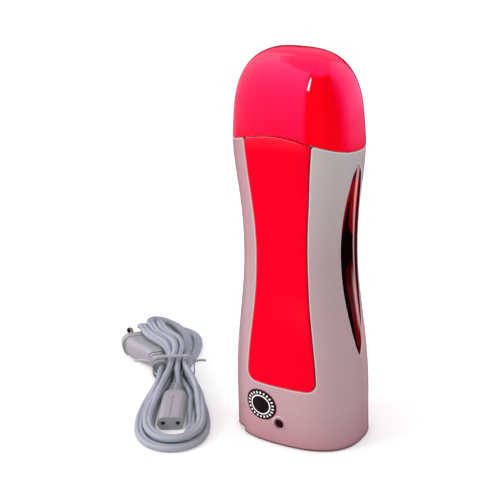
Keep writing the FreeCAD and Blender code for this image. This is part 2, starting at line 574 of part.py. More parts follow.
side = [(-100, 0.05), (80, 0.05), (80, 7.6), (72, 12.5), (62, 17.0), (50, 20.2), (16, 20.2), (5, 14.6), (-20, 13.0), (-60, 10.0), (-100, 8.0)]
sp = [V(-60, y, z) for y, z in side]
prof = Part.Face(Part.makePolygon(sp + [sp[0]])).extrude(V(120, 0, 0))
hank = hank.common(prof)


def sect_rr(a, b, r, y, cz):
    w = round_rect_wire(a, b, r, 0)
    m = FreeCAD.Matrix()
    m.rotateX(math.pi / 2)
    w = w.transformGeometry(m)
    w.translate(V(0, y, cz))
    return w


PLUG_CZ = 6.9
body = Part.makeLoft([sect_rr(*q) for q in ((5.4, 5.0, 3.2, 14.4, PLUG_CZ), (7.2, 5.7, 3.6, 19.0, PLUG_CZ), (10.8, 6.1, 4.0, 24.5, PLUG_CZ),
                                            (13.8, 6.3, 4.2, 30.0, PLUG_CZ), (15.4, 6.45, 4.3, 35.0, PLUG_CZ), (15.8, 6.5, 4.3, 38.2, PLUG_CZ))],
                     True, False, False)
flange = Part.Face(sect_rr(17.6, 6.85, 5.6, 38.0, PLUG_CZ)).extrude(V(0, 5.6, 0))
neck = Part.makeLoft([sect_rr(4.2, 4.0, 3.0, 0.0, PLUG_CZ), sect_rr(5.4, 5.0, 3.6, 14.6, PLUG_CZ)], True, True, False)
for k, y in enumerate((3.2, 6.4, 9.6, 12.8)):
    g = Part.Face(sect_rr(9, 9, 1, y, PLUG_CZ)).extrude(V(0, 1.1, 0)).cut(
        Part.Face(sect_rr(3.2 + 0.3 * k, 3.2 + 0.3 * k, 2.6, y - 0.5, PLUG_CZ)).extrude(V(0, 2.4, 0)))
    neck = neck.cut(g.common(box(-20, 20, y - 1, y + 2, PLUG_CZ + 1.6, PLUG_CZ + 20).fuse(
        box(-20, 20, y - 1, y + 2, PLUG_CZ - 20, PLUG_CZ - 1.6))))
plug = neck.fuse(body).fuse(flange)
p_pins, p_sleeves = [], []
for s in (1, -1):
    b0, b1 = V(s * 9.3, 35.0, PLUG_CZ), V(s * 9.0, 43.6 + 18.6, PLUG_CZ)
    ax = b1.sub(b0)
    ax.normalize()
    full = Part.makeCylinder(1.9, 60, b0, ax)
    sl = full.common(box(-30, 30, 38.0, 53.6, -10, 30)).cut(Part.makeCylinder(1.2, 80, b0 - ax * 5, ax))
    plug = plug.cut(Part.makeCylinder(1.95, 8.6 + 4.0, b0 + ax * 2.9, ax))
    plug = plug.cut(Part.makeCylinder(1.18, 6, b0, ax))
    core = Part.makeCylinder(1.15, 24.0, b0 + ax * 0.6, ax).common(box(-30, 30, 30, 53.7, -10, 30))
    met = Part.makeCylinder(1.98, 9.0, b0 + ax * 18.7, ax)
    tipf = Part.makeCone(1.98, 1.2, 0.7, b0 + ax * 27.7, ax)
    p_pins.append(one(core.fuse(met).fuse(tipf)))
    p_sleeves.append(one(sl))

CON_L = 45.6
CZ = 4.4
cbody = Part.Face(sect_rr(7.7, 3.95, 3.9, 13.0, CZ)).extrude(V(0, CON_L - 13.0, 0))
cshould = Part.makeLoft([sect_rr(5.2, 3.7, 3.2, 10.0, CZ), sect_rr(6.8, 3.9, 3.5, 11.6, CZ), sect_rr(7.7, 3.95, 3.9, 13.2, CZ)], True, False, False)
cneck = Part.makeLoft([sect_rr(4.0, 3.0, 2.4, 0.0, CZ), sect_rr(5.2, 3.7, 3.2, 10.2, CZ)], True, True, False)
for k, y in enumerate((1.6, 3.9, 6.2, 8.5)):
    g = Part.Face(sect_rr(9, 9, 1, y, CZ)).extrude(V(0, 1.1, 0)).cut(
        Part.Face(sect_rr(2.9 + 0.2 * k, 2.2 + 0.1 * k, 1.9, y - 0.5, CZ)).extrude(V(0, 2.4, 0)))
    cneck = cneck.cut(g.common(box(-20, -0.8, y - 1, y + 2, -20, 30).fuse(box(0.8, 20, y - 1, y + 2, -20, 30))))
con = cneck.fuse(cshould).fuse(cbody)
for z in (CZ + 3.95, CZ - 3.95):
    con = con.cut(Part.makeCylinder(0.8, 27.0, V(0, CON_L - 26.5, z + (0.35 if z > CZ else -0.35)), V(0, 1, 0)))
contacts = []
for s in (1, -1):
    con = con.cut(Part.makeCylinder(1.35, 14.0, V(s * PIN_PITCH / 2, CON_L - 13.9, CZ), V(0, 1, 0)))
    con = con.cut(Part.makeCylinder(1.9, 10.6, V(s * PIN_PITCH / 2, CON_L - 12.6, CZ), V(0, 1, 0)))
    t = Part.makeCylinder(1.85, 10.4, V(s * PIN_PITCH / 2, CON_L - 12.5, CZ), V(0, 1, 0)).cut(
        Part.makeCylinder(1.3, 9.6, V(s * PIN_PITCH / 2, CON_L - 11.0, CZ), V(0, 1, 0)))
    contacts.append(t)

tie_out = Part.Face(sect_rr(13.1, 7.95, 5.0, -1.6, 8.0)).extrude(V(0, 3.0, 0))
tie_in = Part.Face(sect_rr(12.4, 7.25, 4.3, -2.0, 8.0)).extrude(V(0, 4.0, 0))
tie = tie_out.cut(tie_in)
tie = tie.fuse(tube([(-12.6, 0.2, 11.5), (-16.0, 0.8, 12.6), (-20.0, 3.4, 12.0), (-24.0, 5.2, 10.6)], 0.75, 6.0))
tie = tie.fuse(tube([(12.6, 0.0, 11.0), (15.0, -0.6, 12.4), (17.8, 0.6, 12.0), (19.8, 1.4, 11.2)], 0.75, 4.0))

PLUG_AT = (-8.0, 1.4, 13.78)         # x, y, turn in degrees
CON_AT = (2.4, -20.5, 178.0)


def place(shape, x, y, deg):
    s = shape.copy()
    s.rotate(V(0, 0, 0), V(0, 0, 1), deg)
    s.translate(V(x, y, 0))
    return s


def to_world(shape):
    s = shape.copy()
    s.rotate(V(0, 0, 0), V(0, 0, 1), HANK_YAW)
    s.translate(V(HANK_POS[0], HANK_POS[1], 0))
    return s


plug = place(one(plug), *PLUG_AT)
p_pins = place(Part.makeCompound(p_pins), *PLUG_AT)
p_sleeves = place(Part.makeCompound(p_sleeves), *PLUG_AT)
con = place(one(con), *CON_AT)
contacts = place(Part.makeCompound(contacts), *CON_AT)


def plug_room(grow):
    r = []
    b = Part.makeLoft([sect_rr(5.4 + grow, 6.9 + grow, 2.0, 14.4, PLUG_CZ), sect_rr(10.8 + grow, 6.9 + grow, 2.0, 24.5, PLUG_CZ),
                       sect_rr(15.6 + grow, 6.9 + grow, 2.0, 34.0, PLUG_CZ), sect_rr(17.6 + grow, 6.9 + grow, 2.0, 38.0, PLUG_CZ)], True, True, False)
    n = Part.Face(sect_rr(5.4 + grow, 6.9 + grow, 2.0, 0.0, PLUG_CZ)).extrude(V(0, 14.4, 0))
    f = Part.Face(sect_rr(17.6 + grow, 6.9 + grow, 2.0, 38.0, PLUG_CZ)).extrude(V(0, 5.6 + grow, 0))
    q = box(-12.5, 12.5, 43.0, 64.0, -1.0, PLUG_CZ + 2.4)
    return place(b.fuse(n).fuse(f).fuse(q), *PLUG_AT)


def con_room(grow):
    return place(box(-7.7 - grow, 7.7 + grow, 10.0, CON_L + grow, -1.0, 30.0).fuse(box(-5.3 - grow, 5.3 + grow, 0.0, 11.0, -1.0, 9.0)), *CON_AT)


hank = hank.cut(plug_room(0.15)).cut(con_room(0.15))
hank_waist = Part.Face(sect_rr(14.0, 12.0, 1.0, -1.75, 8.0)).extrude(V(0, 3.3, 0)).cut(
    Part.Face(sect_rr(12.3, 7.15, 4.2, -2.0, 8.0)).extrude(V(0, 4.0, 0)))
hank = hank.cut(hank_waist)
hs_ = sorted(hank.Solids, key=lambda q: -q.Volume)
print("hank pieces", [round(q.Volume, 1) for q in hs_])
put("cord_hank", to_world(one(hs_[0])))
put("plug_body", to_world(plug))
put("plug_pins", to_world(p_pins))
put("plug_pin_sleeves", to_world(p_sleeves))
put("appliance_connector", to_world(con))
put("connector_contacts", to_world(contacts))
put("twist_tie", to_world(one(tie)))

bb = Part.makeCompound([s for n, s in NODES.items() if n not in (
    "cord_hank", "plug_body", "plug_pins", "plug_pin_sleeves", "appliance_connector", "connector_contacts", "twist_tie")]).BoundBox
print("heater box", [round(v, 3) for v in (bb.XMin, bb.XMax, bb.YMin, bb.YMax, bb.ZMin, bb.ZMax)])
print("nodes", len(NODES))
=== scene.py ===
import json
import math
import bpy
import numpy as np
from mathutils import Vector, Matrix

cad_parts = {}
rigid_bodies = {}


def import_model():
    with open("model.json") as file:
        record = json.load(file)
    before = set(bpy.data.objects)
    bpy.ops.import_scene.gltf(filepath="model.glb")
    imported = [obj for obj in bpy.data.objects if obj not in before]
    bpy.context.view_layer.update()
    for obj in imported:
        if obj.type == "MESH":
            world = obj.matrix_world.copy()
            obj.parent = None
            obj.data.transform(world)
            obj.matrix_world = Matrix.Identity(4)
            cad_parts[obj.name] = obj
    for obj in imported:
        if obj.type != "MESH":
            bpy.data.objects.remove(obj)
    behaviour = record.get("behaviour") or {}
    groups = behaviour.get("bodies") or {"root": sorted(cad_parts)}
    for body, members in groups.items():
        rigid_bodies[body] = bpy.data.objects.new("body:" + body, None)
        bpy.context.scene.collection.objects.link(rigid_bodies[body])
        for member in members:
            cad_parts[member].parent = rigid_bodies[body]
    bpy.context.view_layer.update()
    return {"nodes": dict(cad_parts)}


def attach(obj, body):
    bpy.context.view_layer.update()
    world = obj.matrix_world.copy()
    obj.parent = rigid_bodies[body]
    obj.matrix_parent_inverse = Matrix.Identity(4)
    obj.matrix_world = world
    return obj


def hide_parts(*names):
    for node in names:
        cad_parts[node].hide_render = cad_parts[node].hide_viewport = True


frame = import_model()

MM = 0.001
scene = bpy.context.scene

# ---------------------------------------------------------------------------
# camera
# ---------------------------------------------------------------------------
AZ, EL, ROLL = 0.542542, 0.365179, -0.030035
right = np.array([math.cos(AZ), math.sin(AZ), 0.0])
back = np.array([math.sin(AZ) * math.cos(EL), -math.cos(AZ) * math.cos(EL), math.sin(EL)])
up = np.cross(back, right)
target = np.array([0.0, 0.0, 0.108387]) + right * (-0.027669)
eye = target + back * 0.71775
r2 = math.cos(ROLL) * right + math.sin(ROLL) * up
u2 = -math.sin(ROLL) * right + math.cos(ROLL) * up
cam_data = bpy.data.cameras.new("camera")
cam = bpy.data.objects.new("camera", cam_data)
scene.collection.objects.link(cam)
cam_data.sensor_width = 36.0
cam_data.lens = 94.68
cam_data.clip_start = 0.01
cam_data.clip_end = 20.0
m = Matrix.Identity(4)
for i in range(3):
    m[i][0], m[i][1], m[i][2], m[i][3] = r2[i], u2[i], back[i], eye[i]
cam.matrix_world = m
scene.camera = cam

# ---------------------------------------------------------------------------
# shape of the casing and the cap, in millimetres
# ---------------------------------------------------------------------------
TOP = 219.75
SUP_N = 2.52
SECT_Z = [0.0, 12.0, 35.0, 65.0, 95.0, 120.0, 143.0, 160.0, 170.0, 181.5]
SECT_A = [37.5, 37.3, 37.2, 34.9, 31.8, 31.4, 33.1, 35.05, 35.5, 34.8]
DOME_Z, DOME_PA, DOME_PB = 181.5, 2.95, 2.38
RIM_X = [0.0, 5.0, 9.4, 13.3, 17.8, 22.0, 26.0, 30.0, 33.0, 35.5, 40.0, 50.0]
RIM_Z = [175.9, 175.7, 175.15, 174.4, 173.4, 172.4, 171.4, 170.3, 169.5, 168.7, 167.4, 164.5]
RIM_TILT = 0.095
PANEL_Z = [36.2, 41.5, 49.0, 56.4, 64.0, 71.0, 78.0, 85.0, 92.0, 99.0, 106.0, 113.0,
           120.0, 127.0, 134.0, 140.0, 147.0, 154.0, 161.0, 167.7, 172.6, 182.0]
PANEL_W = [21.5, 21.2, 20.7, 19.95, 19.05, 18.2, 17.35, 16.65, 16.1, 15.75, 15.5, 15.4,
           15.5, 15.8, 16.3, 16.85, 17.45, 18.05, 18.65, 19.25, 19.7, 20.5]
WIN_Z = [51.5, 55.0, 60.0, 67.5, 75.0, 84.0, 95.0, 106.5, 118.0, 127.0, 136.0, 144.0, 151.0, 156.5, 161.5]
WIN_W = [0.0, 2.1, 3.9, 5.75, 7.1, 8.35, 9.3, 9.85, 10.0, 9.75, 9.05, 7.85, 6.3, 4.4, 0.0]
LAMP_Z = 13.9
BADGE = (-11.9, 22.8, 10.3, 9.2)


def spline(xs, ys):
    """Natural cubic spline as a vectorised function."""
    xs, ys = np.asarray(xs, float), np.asarray(ys, float)
    n = len(xs)
    h = np.diff(xs)
    A = np.zeros((n, n))
    b = np.zeros(n)
    A[0, 0] = A[-1, -1] = 1.0
    for i in range(1, n - 1):
        A[i, i - 1], A[i, i], A[i, i + 1] = h[i - 1], 2 * (h[i - 1] + h[i]), h[i]
        b[i] = 6 * ((ys[i + 1] - ys[i]) / h[i] - (ys[i] - ys[i - 1]) / h[i - 1])
    M = np.linalg.solve(A, b)

    def f(x):
        x = np.asarray(x, float)
        j = np.clip(np.searchsorted(xs, x) - 1, 0, n - 2)
        t = x - xs[j]
        hh = h[j]
        return (ys[j] + t * ((ys[j + 1] - ys[j]) / hh - hh * (2 * M[j] + M[j + 1]) / 6)
                + t * t * M[j] / 2 + t ** 3 * (M[j + 1] - M[j]) / (6 * hh))
    return f


body_a = spline(SECT_Z, SECT_A)
rim_f = spline([-x for x in RIM_X[:0:-1]] + RIM_X, RIM_Z[:0:-1] + RIM_Z)
panel_f = spline(PANEL_Z, PANEL_W)
win_f = spline(WIN_Z, WIN_W)


def ratio(z):
    k = np.clip((z - 163.0) / (DOME_Z - 163.0), 0, 1)
    k = k * k * (3 - 2 * k)
    return 0.74 + 0.015 * k


def half_ab(z, d=0.0, top=TOP):
    z = np.asarray(z, float)
    t = np.clip((z - DOME_Z) / (top - DOME_Z), 0, 1)
    low = z <= DOME_Z
    a = np.where(low, body_a(np.minimum(z, DOME_Z)), SECT_A[-1] - 0.07 * (z - DOME_Z))
    b = ratio(z) * a
    a = (a - d) * np.where(low, 1.0, np.maximum(0, 1 - t ** DOME_PA) ** (1 / DOME_PA))
    b = (b - d) * np.where(low, 1.0, np.maximum(0, 1 - t ** DOME_PB) ** (1 / DOME_PB))
    return a, b


def skin(th, z, d=0.0, top=TOP):
    a, b = half_ab(z, d, top)
    c, s = np.cos(th), np.sin(th)
    x = a * np.sign(c) * np.abs(c) ** (2 / SUP_N)
    y = b * np.sign(s) * np.abs(s) ** (2 / SUP_N)
    return np.stack([x, y, np.broadcast_to(z, x.shape)], -1)


def skin_front(x, z, d=0.0):
    """Point of the front skin at x, z."""
    a, b = half_ab(z, d)
    y = -b * np.maximum(0, 1 - np.abs(x / a) ** SUP_N) ** (1 / SUP_N)
    return np.stack([np.broadcast_to(x, y.shape), y, np.broadcast_to(z, y.shape)], -1)


def skin_side(y, z, sign, d=0.0):
    a, b = half_ab(z, d)
    x = sign * a * np.maximum(0, 1 - np.abs(y / b) ** SUP_N) ** (1 / SUP_N)
    return np.stack([x, np.broadcast_to(y, x.shape), np.broadcast_to(z, x.shape)], -1)


def skin_normal(p, d=0.0):
    """Outward normal of the body's skin, from its implicit form."""
    x, y, z = p[..., 0], p[..., 1], p[..., 2]
    e = 0.05
    a, b = half_ab(z, d)
    a1, b1 = half_ab(z + e, d)
    a0, b0 = half_ab(z - e, d)
    da, db = (a1 - a0) / (2 * e), (b1 - b0) / (2 * e)
    ux, uy = np.abs(x / a), np.abs(y / b)
    n = np.stack([SUP_N * ux ** (SUP_N - 1) * np.sign(x) / a, SUP_N * uy ** (SUP_N - 1) * np.sign(y) / b,
                  -SUP_N * ux ** SUP_N * da / a - SUP_N * uy ** SUP_N * db / b], -1)
    return n / np.linalg.norm(n, axis=-1, keepdims=True)


# ---------------------------------------------------------------------------
# outlines: signed distances in mm, positive outside
# ---------------------------------------------------------------------------
def smin(a, b, k):
    h = np.clip(0.5 + 0.5 * (b - a) / k, 0, 1)
    return b * (1 - h) + a * h - k * h * (1 - h)


def rounded(dx, dy, r):
    qx, qy = dx + r, dy + r
    return np.minimum(np.maximum(qx, qy), 0) + np.hypot(np.maximum(qx, 0), np.maximum(qy, 0)) - r


def sd_panel(p):
    x, z = np.abs(p[..., 0]), p[..., 2]
    zz = np.clip(z, PANEL_Z[0], 181.0)
    w, w2 = panel_f(zz), panel_f(zz + 0.5)
    c = 1 / np.sqrt(1 + ((w2 - w) / 0.5) ** 2)
    return rounded((x - w) * c, PANEL_Z[0] - z, 5.6)


def rim_z(x, y):
    return rim_f(np.clip(x, -49, 49)) - RIM_TILT * y


def sd_rim(p):
    """Positive above the rim."""
    x, y, z = p[..., 0], p[..., 1], p[..., 2]
    s = rim_f(np.clip(x + 0.5, -50, 50)) - rim_f(np.clip(x - 0.5, -50, 50))
    return (z - rim_z(x, y)) / np.sqrt(1 + s * s + RIM_TILT ** 2)


_wz = np.unique(np.concatenate([np.linspace(51.5, 56, 30), np.linspace(56, 157, 90), np.linspace(157, 161.5, 30)]))
_wy = np.maximum(win_f(_wz), 0)
_wy[0] = _wy[-1] = 0.0
_wa = np.stack([_wy[:-1], _wz[:-1]], -1)
_wd = np.stack([np.diff(_wy), np.diff(_wz)], -1)
_wl = (_wd ** 2).sum(-1)


def sd_window(p):
    y, z = np.abs(p[..., 1]), p[..., 2]
    q = np.stack([y, z], -1)[..., None, :] - _wa
    t = np.clip((q * _wd).sum(-1) / _wl, 0, 1)
    d = np.sqrt(((q - t[..., None] * _wd) ** 2).sum(-1)).min(-1)
    inside = (z > 51.5) & (z < 161.5) & (y < np.interp(z, _wz, _wy))
    return np.where(inside, -d, d)


def sd_foot(p):
    """Positive where the casing's lower edge is cut away, higher on the left."""
    x, z = p[..., 0], p[..., 2]
    notch = smin(-(x + 25.6), 3.6 + 0.29 * (x + 25.6) - z, 1.0)
    return -smin(z - 0.5, -notch, 0.5)


def sd_arch(p):
    d = rounded(np.abs(p[..., 1]) - 12.0, p[..., 2] - 20.0, 6.7)
    return np.where(p[..., 0] < 0, d, 99.0)


def sd_lamp(p):
    d = np.hypot(p[..., 0], p[..., 2] - LAMP_Z) - 4.5
    return np.where(p[..., 1] < 0, d, 99.0)


def sd_screw(p):
    d = np.hypot(np.abs(p[..., 0]) - 24.0, p[..., 2] - 44.0) - 3.0
    return np.where(p[..., 1] > 0, d, 99.0)


# ---------------------------------------------------------------------------
# mesh tools
# ---------------------------------------------------------------------------
class Mesher:
    def __init__(self):
        self.v, self.n, self.f = [], [], []
        self.edge = {}
        self.tag = None

    def add(self, p, n):
        self.v.append((float(p[0]), float(p[1]), float(p[2])))
        self.n.append((float(n[0]), float(n[1]), float(n[2])))
        return len(self.v) - 1

    def build(self, name, material, body, replaces=()):
        me = bpy.data.meshes.new(name)
        me.from_pydata([(a * MM, b * MM, c * MM) for a, b, c in self.v], [], self.f)
        me.update()
        me.polygons.foreach_set("use_smooth", [True] * len(me.polygons))
        n = np.array(self.n)
        n /= np.maximum(np.linalg.norm(n, axis=1, keepdims=True), 1e-9)
        me.normals_split_custom_set_from_vertices([tuple(q) for q in n])
        # rim attribute: masks for painted highlight and painted shade along the edges
        at = me.attributes.new("rim", "FLOAT", "POINT")
        tag = self.tag(np.array(self.v)) if self.tag else np.zeros(len(self.v))
        for i, q in self.edge.items():
            tag[i] = q
        at.data.foreach_set("value", tag.astype(np.float32))
        ob = bpy.data.objects.new(name, me)
        scene.collection.objects.link(ob)
        me.materials.append(material)
        return own(ob, body, replaces)


def own(ob, body, replaces=()):
    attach(ob, body)
    if replaces:
        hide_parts(*replaces)
    return ob


def grad(G, p, e=0.02):
    out = np.zeros(p.shape)
    for k in range(3):
        q = np.zeros(3)
        q[k] = e
        out[..., k] = (G(p + q) - G(p - q)) / (2 * e)
    return out


def clipped(mesh, us, vs, pos, nrm, keeps, wrap=False, flip=False):
    """Adds the grid over us and vs, kept where every keep function is >= 0 and cut exactly along
    them. Returns its border as directed edges."""
    U, W = np.meshgrid(us, vs, indexing="ij")
    P = pos(U, W)
    N = nrm(U, W, P)
    if flip:
        N = -N
    K = np.stack([k(P) for k in keeps], 0)
    nu, nv = U.shape
    gid, cuts = {}, {}
    span = us[-1] - us[0]

    def grid(i, j):
        i = 0 if wrap and i == nu - 1 else i
        if (i, j) not in gid:
            gid[(i, j)] = mesh.add(P[i, j], N[i, j])
        return gid[(i, j)]

    def cut(u, v):
        k = (round((u - us[0]) % span, 6) if wrap else round(u, 6), round(v, 6))
        if k not in cuts:
            uu, vv = np.array([u]), np.array([v])
            p = pos(uu, vv)
            n = nrm(uu, vv, p)
            cuts[k] = mesh.add(p[0], -n[0] if flip else n[0])
        return cuts[k]

    def g(q, s):
        if s[2]:
            return K[q][s[2]]
        return float(keeps[q](pos(np.array([s[0]]), np.array([s[1]])))[0])

    def root(q, a, b):
        if a[:2] > b[:2]:
            a, b = b, a
        lo, hi = 0.0, 1.0
        for _ in range(3):
            t = np.linspace(lo, hi, 17)
            val = keeps[q](pos(a[0] + (b[0] - a[0]) * t, a[1] + (b[1] - a[1]) * t)) >= 0
            k = int(np.argmax(val != val[0]))
            if k == 0:
                break
            lo, hi = t[k - 1], t[k]
        t = 0.5 * (lo + hi)
        return (a[0] + (b[0] - a[0]) * t, a[1] + (b[1] - a[1]) * t, None)

    cells = np.stack([K[:, :-1, :-1], K[:, 1:, :-1], K[:, 1:, 1:], K[:, :-1, 1:]], 0)
    full = (cells >= 0).all(0).all(0)
    none = (cells < 0).all(0).any(0)
    edges = set()

    def face(ids):
        ids = [a for k, a in enumerate(ids) if a != ids[k - 1]]
        if len(ids) < 3 or len(set(ids)) != len(ids):
            return
        if flip:
            ids = ids[::-1]
        mesh.f.append(ids)
        for k in range(len(ids)):
            edges.add((ids[k - 1], ids[k]))

    for i in range(nu - 1):
        for j in range(nv - 1):
            if full[i, j]:
                face([grid(i, j), grid(i + 1, j), grid(i + 1, j + 1), grid(i, j + 1)])
            elif not none[i, j]:
                poly = [(U[a, b], W[a, b], (a, b)) for a, b in ((i, j), (i + 1, j), (i + 1, j + 1), (i, j + 1))]
                for q in range(len(keeps)):
                    if (cells[:, q, i, j] >= 0).all():
                        continue
                    vals = [g(q, s) for s in poly]
                    new = []
                    for s in range(len(poly)):
                        a, b = poly[s], poly[(s + 1) % len(poly)]
                        ga, gb = vals[s] >= 0, vals[(s + 1) % len(poly)] >= 0
                        if ga:
                            new.append(a)
                        if ga != gb:
                            new.append(root(q, a, b))
                    poly = new
                    if len(poly) < 3:
                        break
                if len(poly) >= 3:
                    face([grid(*s[2]) if s[2] else cut(s[0], s[1]) for s in poly])
    return [e for e in edges if (e[1], e[0]) not in edges]


def chains(border):
    nxt = {}
    for a, b in sorted(border):
        nxt.setdefault(a, []).append(b)
    out = []
    while nxt:
        a = min(nxt)
        first, loop, closed = a, [a], False
        while nxt.get(a):
            b = nxt[a].pop()
            if not nxt[a]:
                del nxt[a]
            if b == first:
                closed = True
                break
            loop.append(b)
            a = b
        out.append((loop, closed))
    return out


def fillet(r, steps=4):
    """Profile of a rounded edge of radius r: pairs of position and normal."""
    def f(P, N, T):
        out = []
        for k in range(1, steps + 1):
            a = 0.5 * math.pi * k / steps
            c, s = math.cos(a), math.sin(a)
            out.append((P + T * r * s - N * r * (1 - c), N * c + T * s))
        return out
    return f


def lips(mesh, border, keeps, profiles, flip=False):
    """Continues the border along each keep function's profile."""
    for loop, closed in chains(border):
        if len(loop) < 3:
            continue
        P = np.array([mesh.v[i] for i in loop])
        N = np.array([mesh.n[i] for i in loop])
        vals = np.stack([np.abs(k(P)) for k in keeps], 0)
        which = vals.argmin(0)
        low = [keeps[w] is k_foot and -a < b for w, a, b in zip(which, sd_foot(P), sd_arch(P))]
        used = sorted(set(which.tolist()))
        T = np.zeros_like(P)
        for q in used:
            mk = which == q
            gq = -grad(keeps[q], P[mk])
            gq -= (gq * N[mk]).sum(-1, keepdims=True) * N[mk]
            T[mk] = gq
        T /= np.maximum(np.linalg.norm(T, axis=1, keepdims=True), 1e-6)
        parts = {q: profiles[q](P, N, T) for q in used}
        m = min(len(v) for v in parts.values())
        rings = [loop]
        plain = [keeps[w] in (k_front, k_rear) for w in which]
        # rim mask: positive values mark painted highlight along the edge, 2 round the lamp; -1 marks painted shade
        # along the lower edge
        for i, w, q in zip(loop, which, low):
            if keeps[w] not in (k_front, k_rear):
                mesh.edge[i] = -1.0 if q else 0.6
        top = [2.0 if keeps[w] is k_lamp else -1.0 if q else 1.0 for w, q in zip(which, low)]
        # painted shade: -1 on the deeper rings inside the gap between the panel and the casing
        gap = [keeps[w] is k_rim_panel and d < 1.2 for w, d in zip(which, sd_panel(P))]
        for k in range(m):
            ring = []
            for i in range(len(loop)):
                p, n = parts[which[i]][k]
                ring.append(mesh.add(p[i], n[i]))
                if k > 1 and low[i] or k > 2 and gap[i]:
                    mesh.edge[ring[-1]] = -1.0
                if k < 2 and not plain[i]:
                    mesh.edge[ring[-1]] = top[i]
            rings.append(ring)
        n = len(loop)
        for a, b in zip(rings[:-1], rings[1:]):
            for i in range(n if closed else n - 1):
                j = (i + 1) % n
                mesh.f.append([a[j], a[i], b[i], b[j]])


def weight(x, lo, hi):
    t = np.clip((x - lo) / (hi - lo), 0, 1)
    return t * t * (3 - 2 * t)


# ---------------------------------------------------------------------------
# materials
# ---------------------------------------------------------------------------
def srgb(r, g, b):
    f = lambda c: c / 12.92 if c <= 0.04045 else ((c + 0.055) / 1.055) ** 2.4
    return (f(r / 255), f(g / 255), f(b / 255), 1.0)


class Mat:
    """Small helper round a node material with one Principled shader."""

    def __init__(self, name):
        self.m = bpy.data.materials.new(name)
        self.m.use_nodes = True
        self.nt = self.m.node_tree
        self.b = self.nt.nodes["Principled BSDF"]
        self.tc = self.nt.nodes.new("ShaderNodeTexCoord")
        self.bumps = None

    def set(self, **kw):
        for k, v in kw.items():
            self.b.inputs[k.replace("_", " ")].default_value = v
        return self

    def link(self, a, b):
        self.nt.links.new(a, b)

    def noise(self, scale, detail=3.0, rough=0.5, stretch=None, distortion=0.0):
        n = self.nt.nodes.new("ShaderNodeTexNoise")
        n.inputs["Scale"].default_value = scale
        n.inputs["Detail"].default_value = detail
        n.inputs["Roughness"].default_value = rough
        n.inputs["Distortion"].default_value = distortion
        src = self.tc.outputs["Object"]
        if stretch:
            mp = self.nt.nodes.new("ShaderNodeMapping")
            mp.inputs["Scale"].default_value = stretch
            self.link(src, mp.inputs["Vector"])
            src = mp.outputs["Vector"]
        self.link(src, n.inputs["Vector"])
        return n.outputs["Fac"]

    def voronoi(self, scale, feature="F1"):
        n = self.nt.nodes.new("ShaderNodeTexVoronoi")
        n.feature = feature
        n.inputs["Scale"].default_value = scale
        self.link(self.tc.outputs["Object"], n.inputs["Vector"])
        return n.outputs["Distance"]

    def ramp(self, fac, stops, interp="LINEAR"):
        r = self.nt.nodes.new("ShaderNodeValToRGB")
        r.color_ramp.interpolation = interp
        e = r.color_ramp.elements
        while len(e) < len(stops):
            e.new(0.5)
        for k, (p, c) in enumerate(stops):
            e[k].position = p
            e[k].color = c if len(c) == 4 else (*c, 1.0)
        self.link(fac, r.inputs["Fac"])
        return r.outputs["Color"]

    def math(self, op, a, b=None, clamp=False):
        n = self.nt.nodes.new("ShaderNodeMath")
        n.operation = op
        n.use_clamp = clamp
        for k, v in enumerate((a, b)):
            if v is None:
                continue
            if isinstance(v, (int, float)):
                n.inputs[k].default_value = v
            else:
                self.link(v, n.inputs[k])
        return n.outputs[0]

    def remap(self, v, a, b, c, d):
        n = self.nt.nodes.new("ShaderNodeMapRange")
        n.clamp = True
        self.link(v, n.inputs["Value"])
        for k, q in zip(("From Min", "From Max", "To Min", "To Max"), (a, b, c, d)):
            n.inputs[k].default_value = q
        return n.outputs["Result"]

    def xyz(self, which="Object"):
        n = self.nt.nodes.new("ShaderNodeSeparateXYZ")
        self.link(self.tc.outputs[which], n.inputs[0])
        return n.outputs["X"], n.outputs["Y"], n.outputs["Z"]

    def rim(self):
        """Mask along the rounded edges of a shell or panel, 0 away from them: positive values mark painted highlight,
        negative ones painted shade.
        """
        n = self.nt.nodes.new("ShaderNodeAttribute")
        n.attribute_name = "rim"
        return n.outputs["Fac"]

    def lookup(self, v, pts, lo, hi):
        """Piecewise linear function of v, given as (v, value) pairs with values from lo to hi."""
        a, b = pts[0][0], pts[-1][0]
        r = self.ramp(self.remap(v, a, b, 0.0, 1.0), [((p - a) / (b - a), ((q - lo) / (hi - lo),) * 3 + (1.0,)) for p, q in pts])
        bw = self.nt.nodes.new("ShaderNodeSeparateColor")
        self.link(r, bw.inputs[0])
        return self.math("ADD", self.math("MULTIPLY", bw.outputs[0], hi - lo), lo)

    def mix(self, fac, a, b):
        n = self.nt.nodes.new("ShaderNodeMix")
        n.data_type = "RGBA"
        if isinstance(fac, (int, float)):
            n.inputs[0].default_value = fac
        else:
            self.link(fac, n.inputs[0])
        for k, v in ((6, a), (7, b)):
            if isinstance(v, tuple):
                n.inputs[k].default_value = v
            else:
                self.link(v, n.inputs[k])
        return n.outputs[2]

    def color(self, c):
        self.link(c, self.b.inputs["Base Color"])
        return self

    def rough(self, v, lo, hi):
        self.link(self.remap(v, 0.3, 0.7, lo, hi), self.b.inputs["Roughness"])
        return self

    def bump(self, v, strength, dist):
        n = self.nt.nodes.new("ShaderNodeBump")
        n.inputs["Strength"].default_value = strength
        n.inputs["Distance"].default_value = dist
        self.link(v, n.inputs["Height"])
        if self.bumps is not None:
            self.link(self.bumps, n.inputs["Normal"])
        self.bumps = n.outputs["Normal"]
        self.link(self.bumps, self.b.inputs["Normal"])
        return self
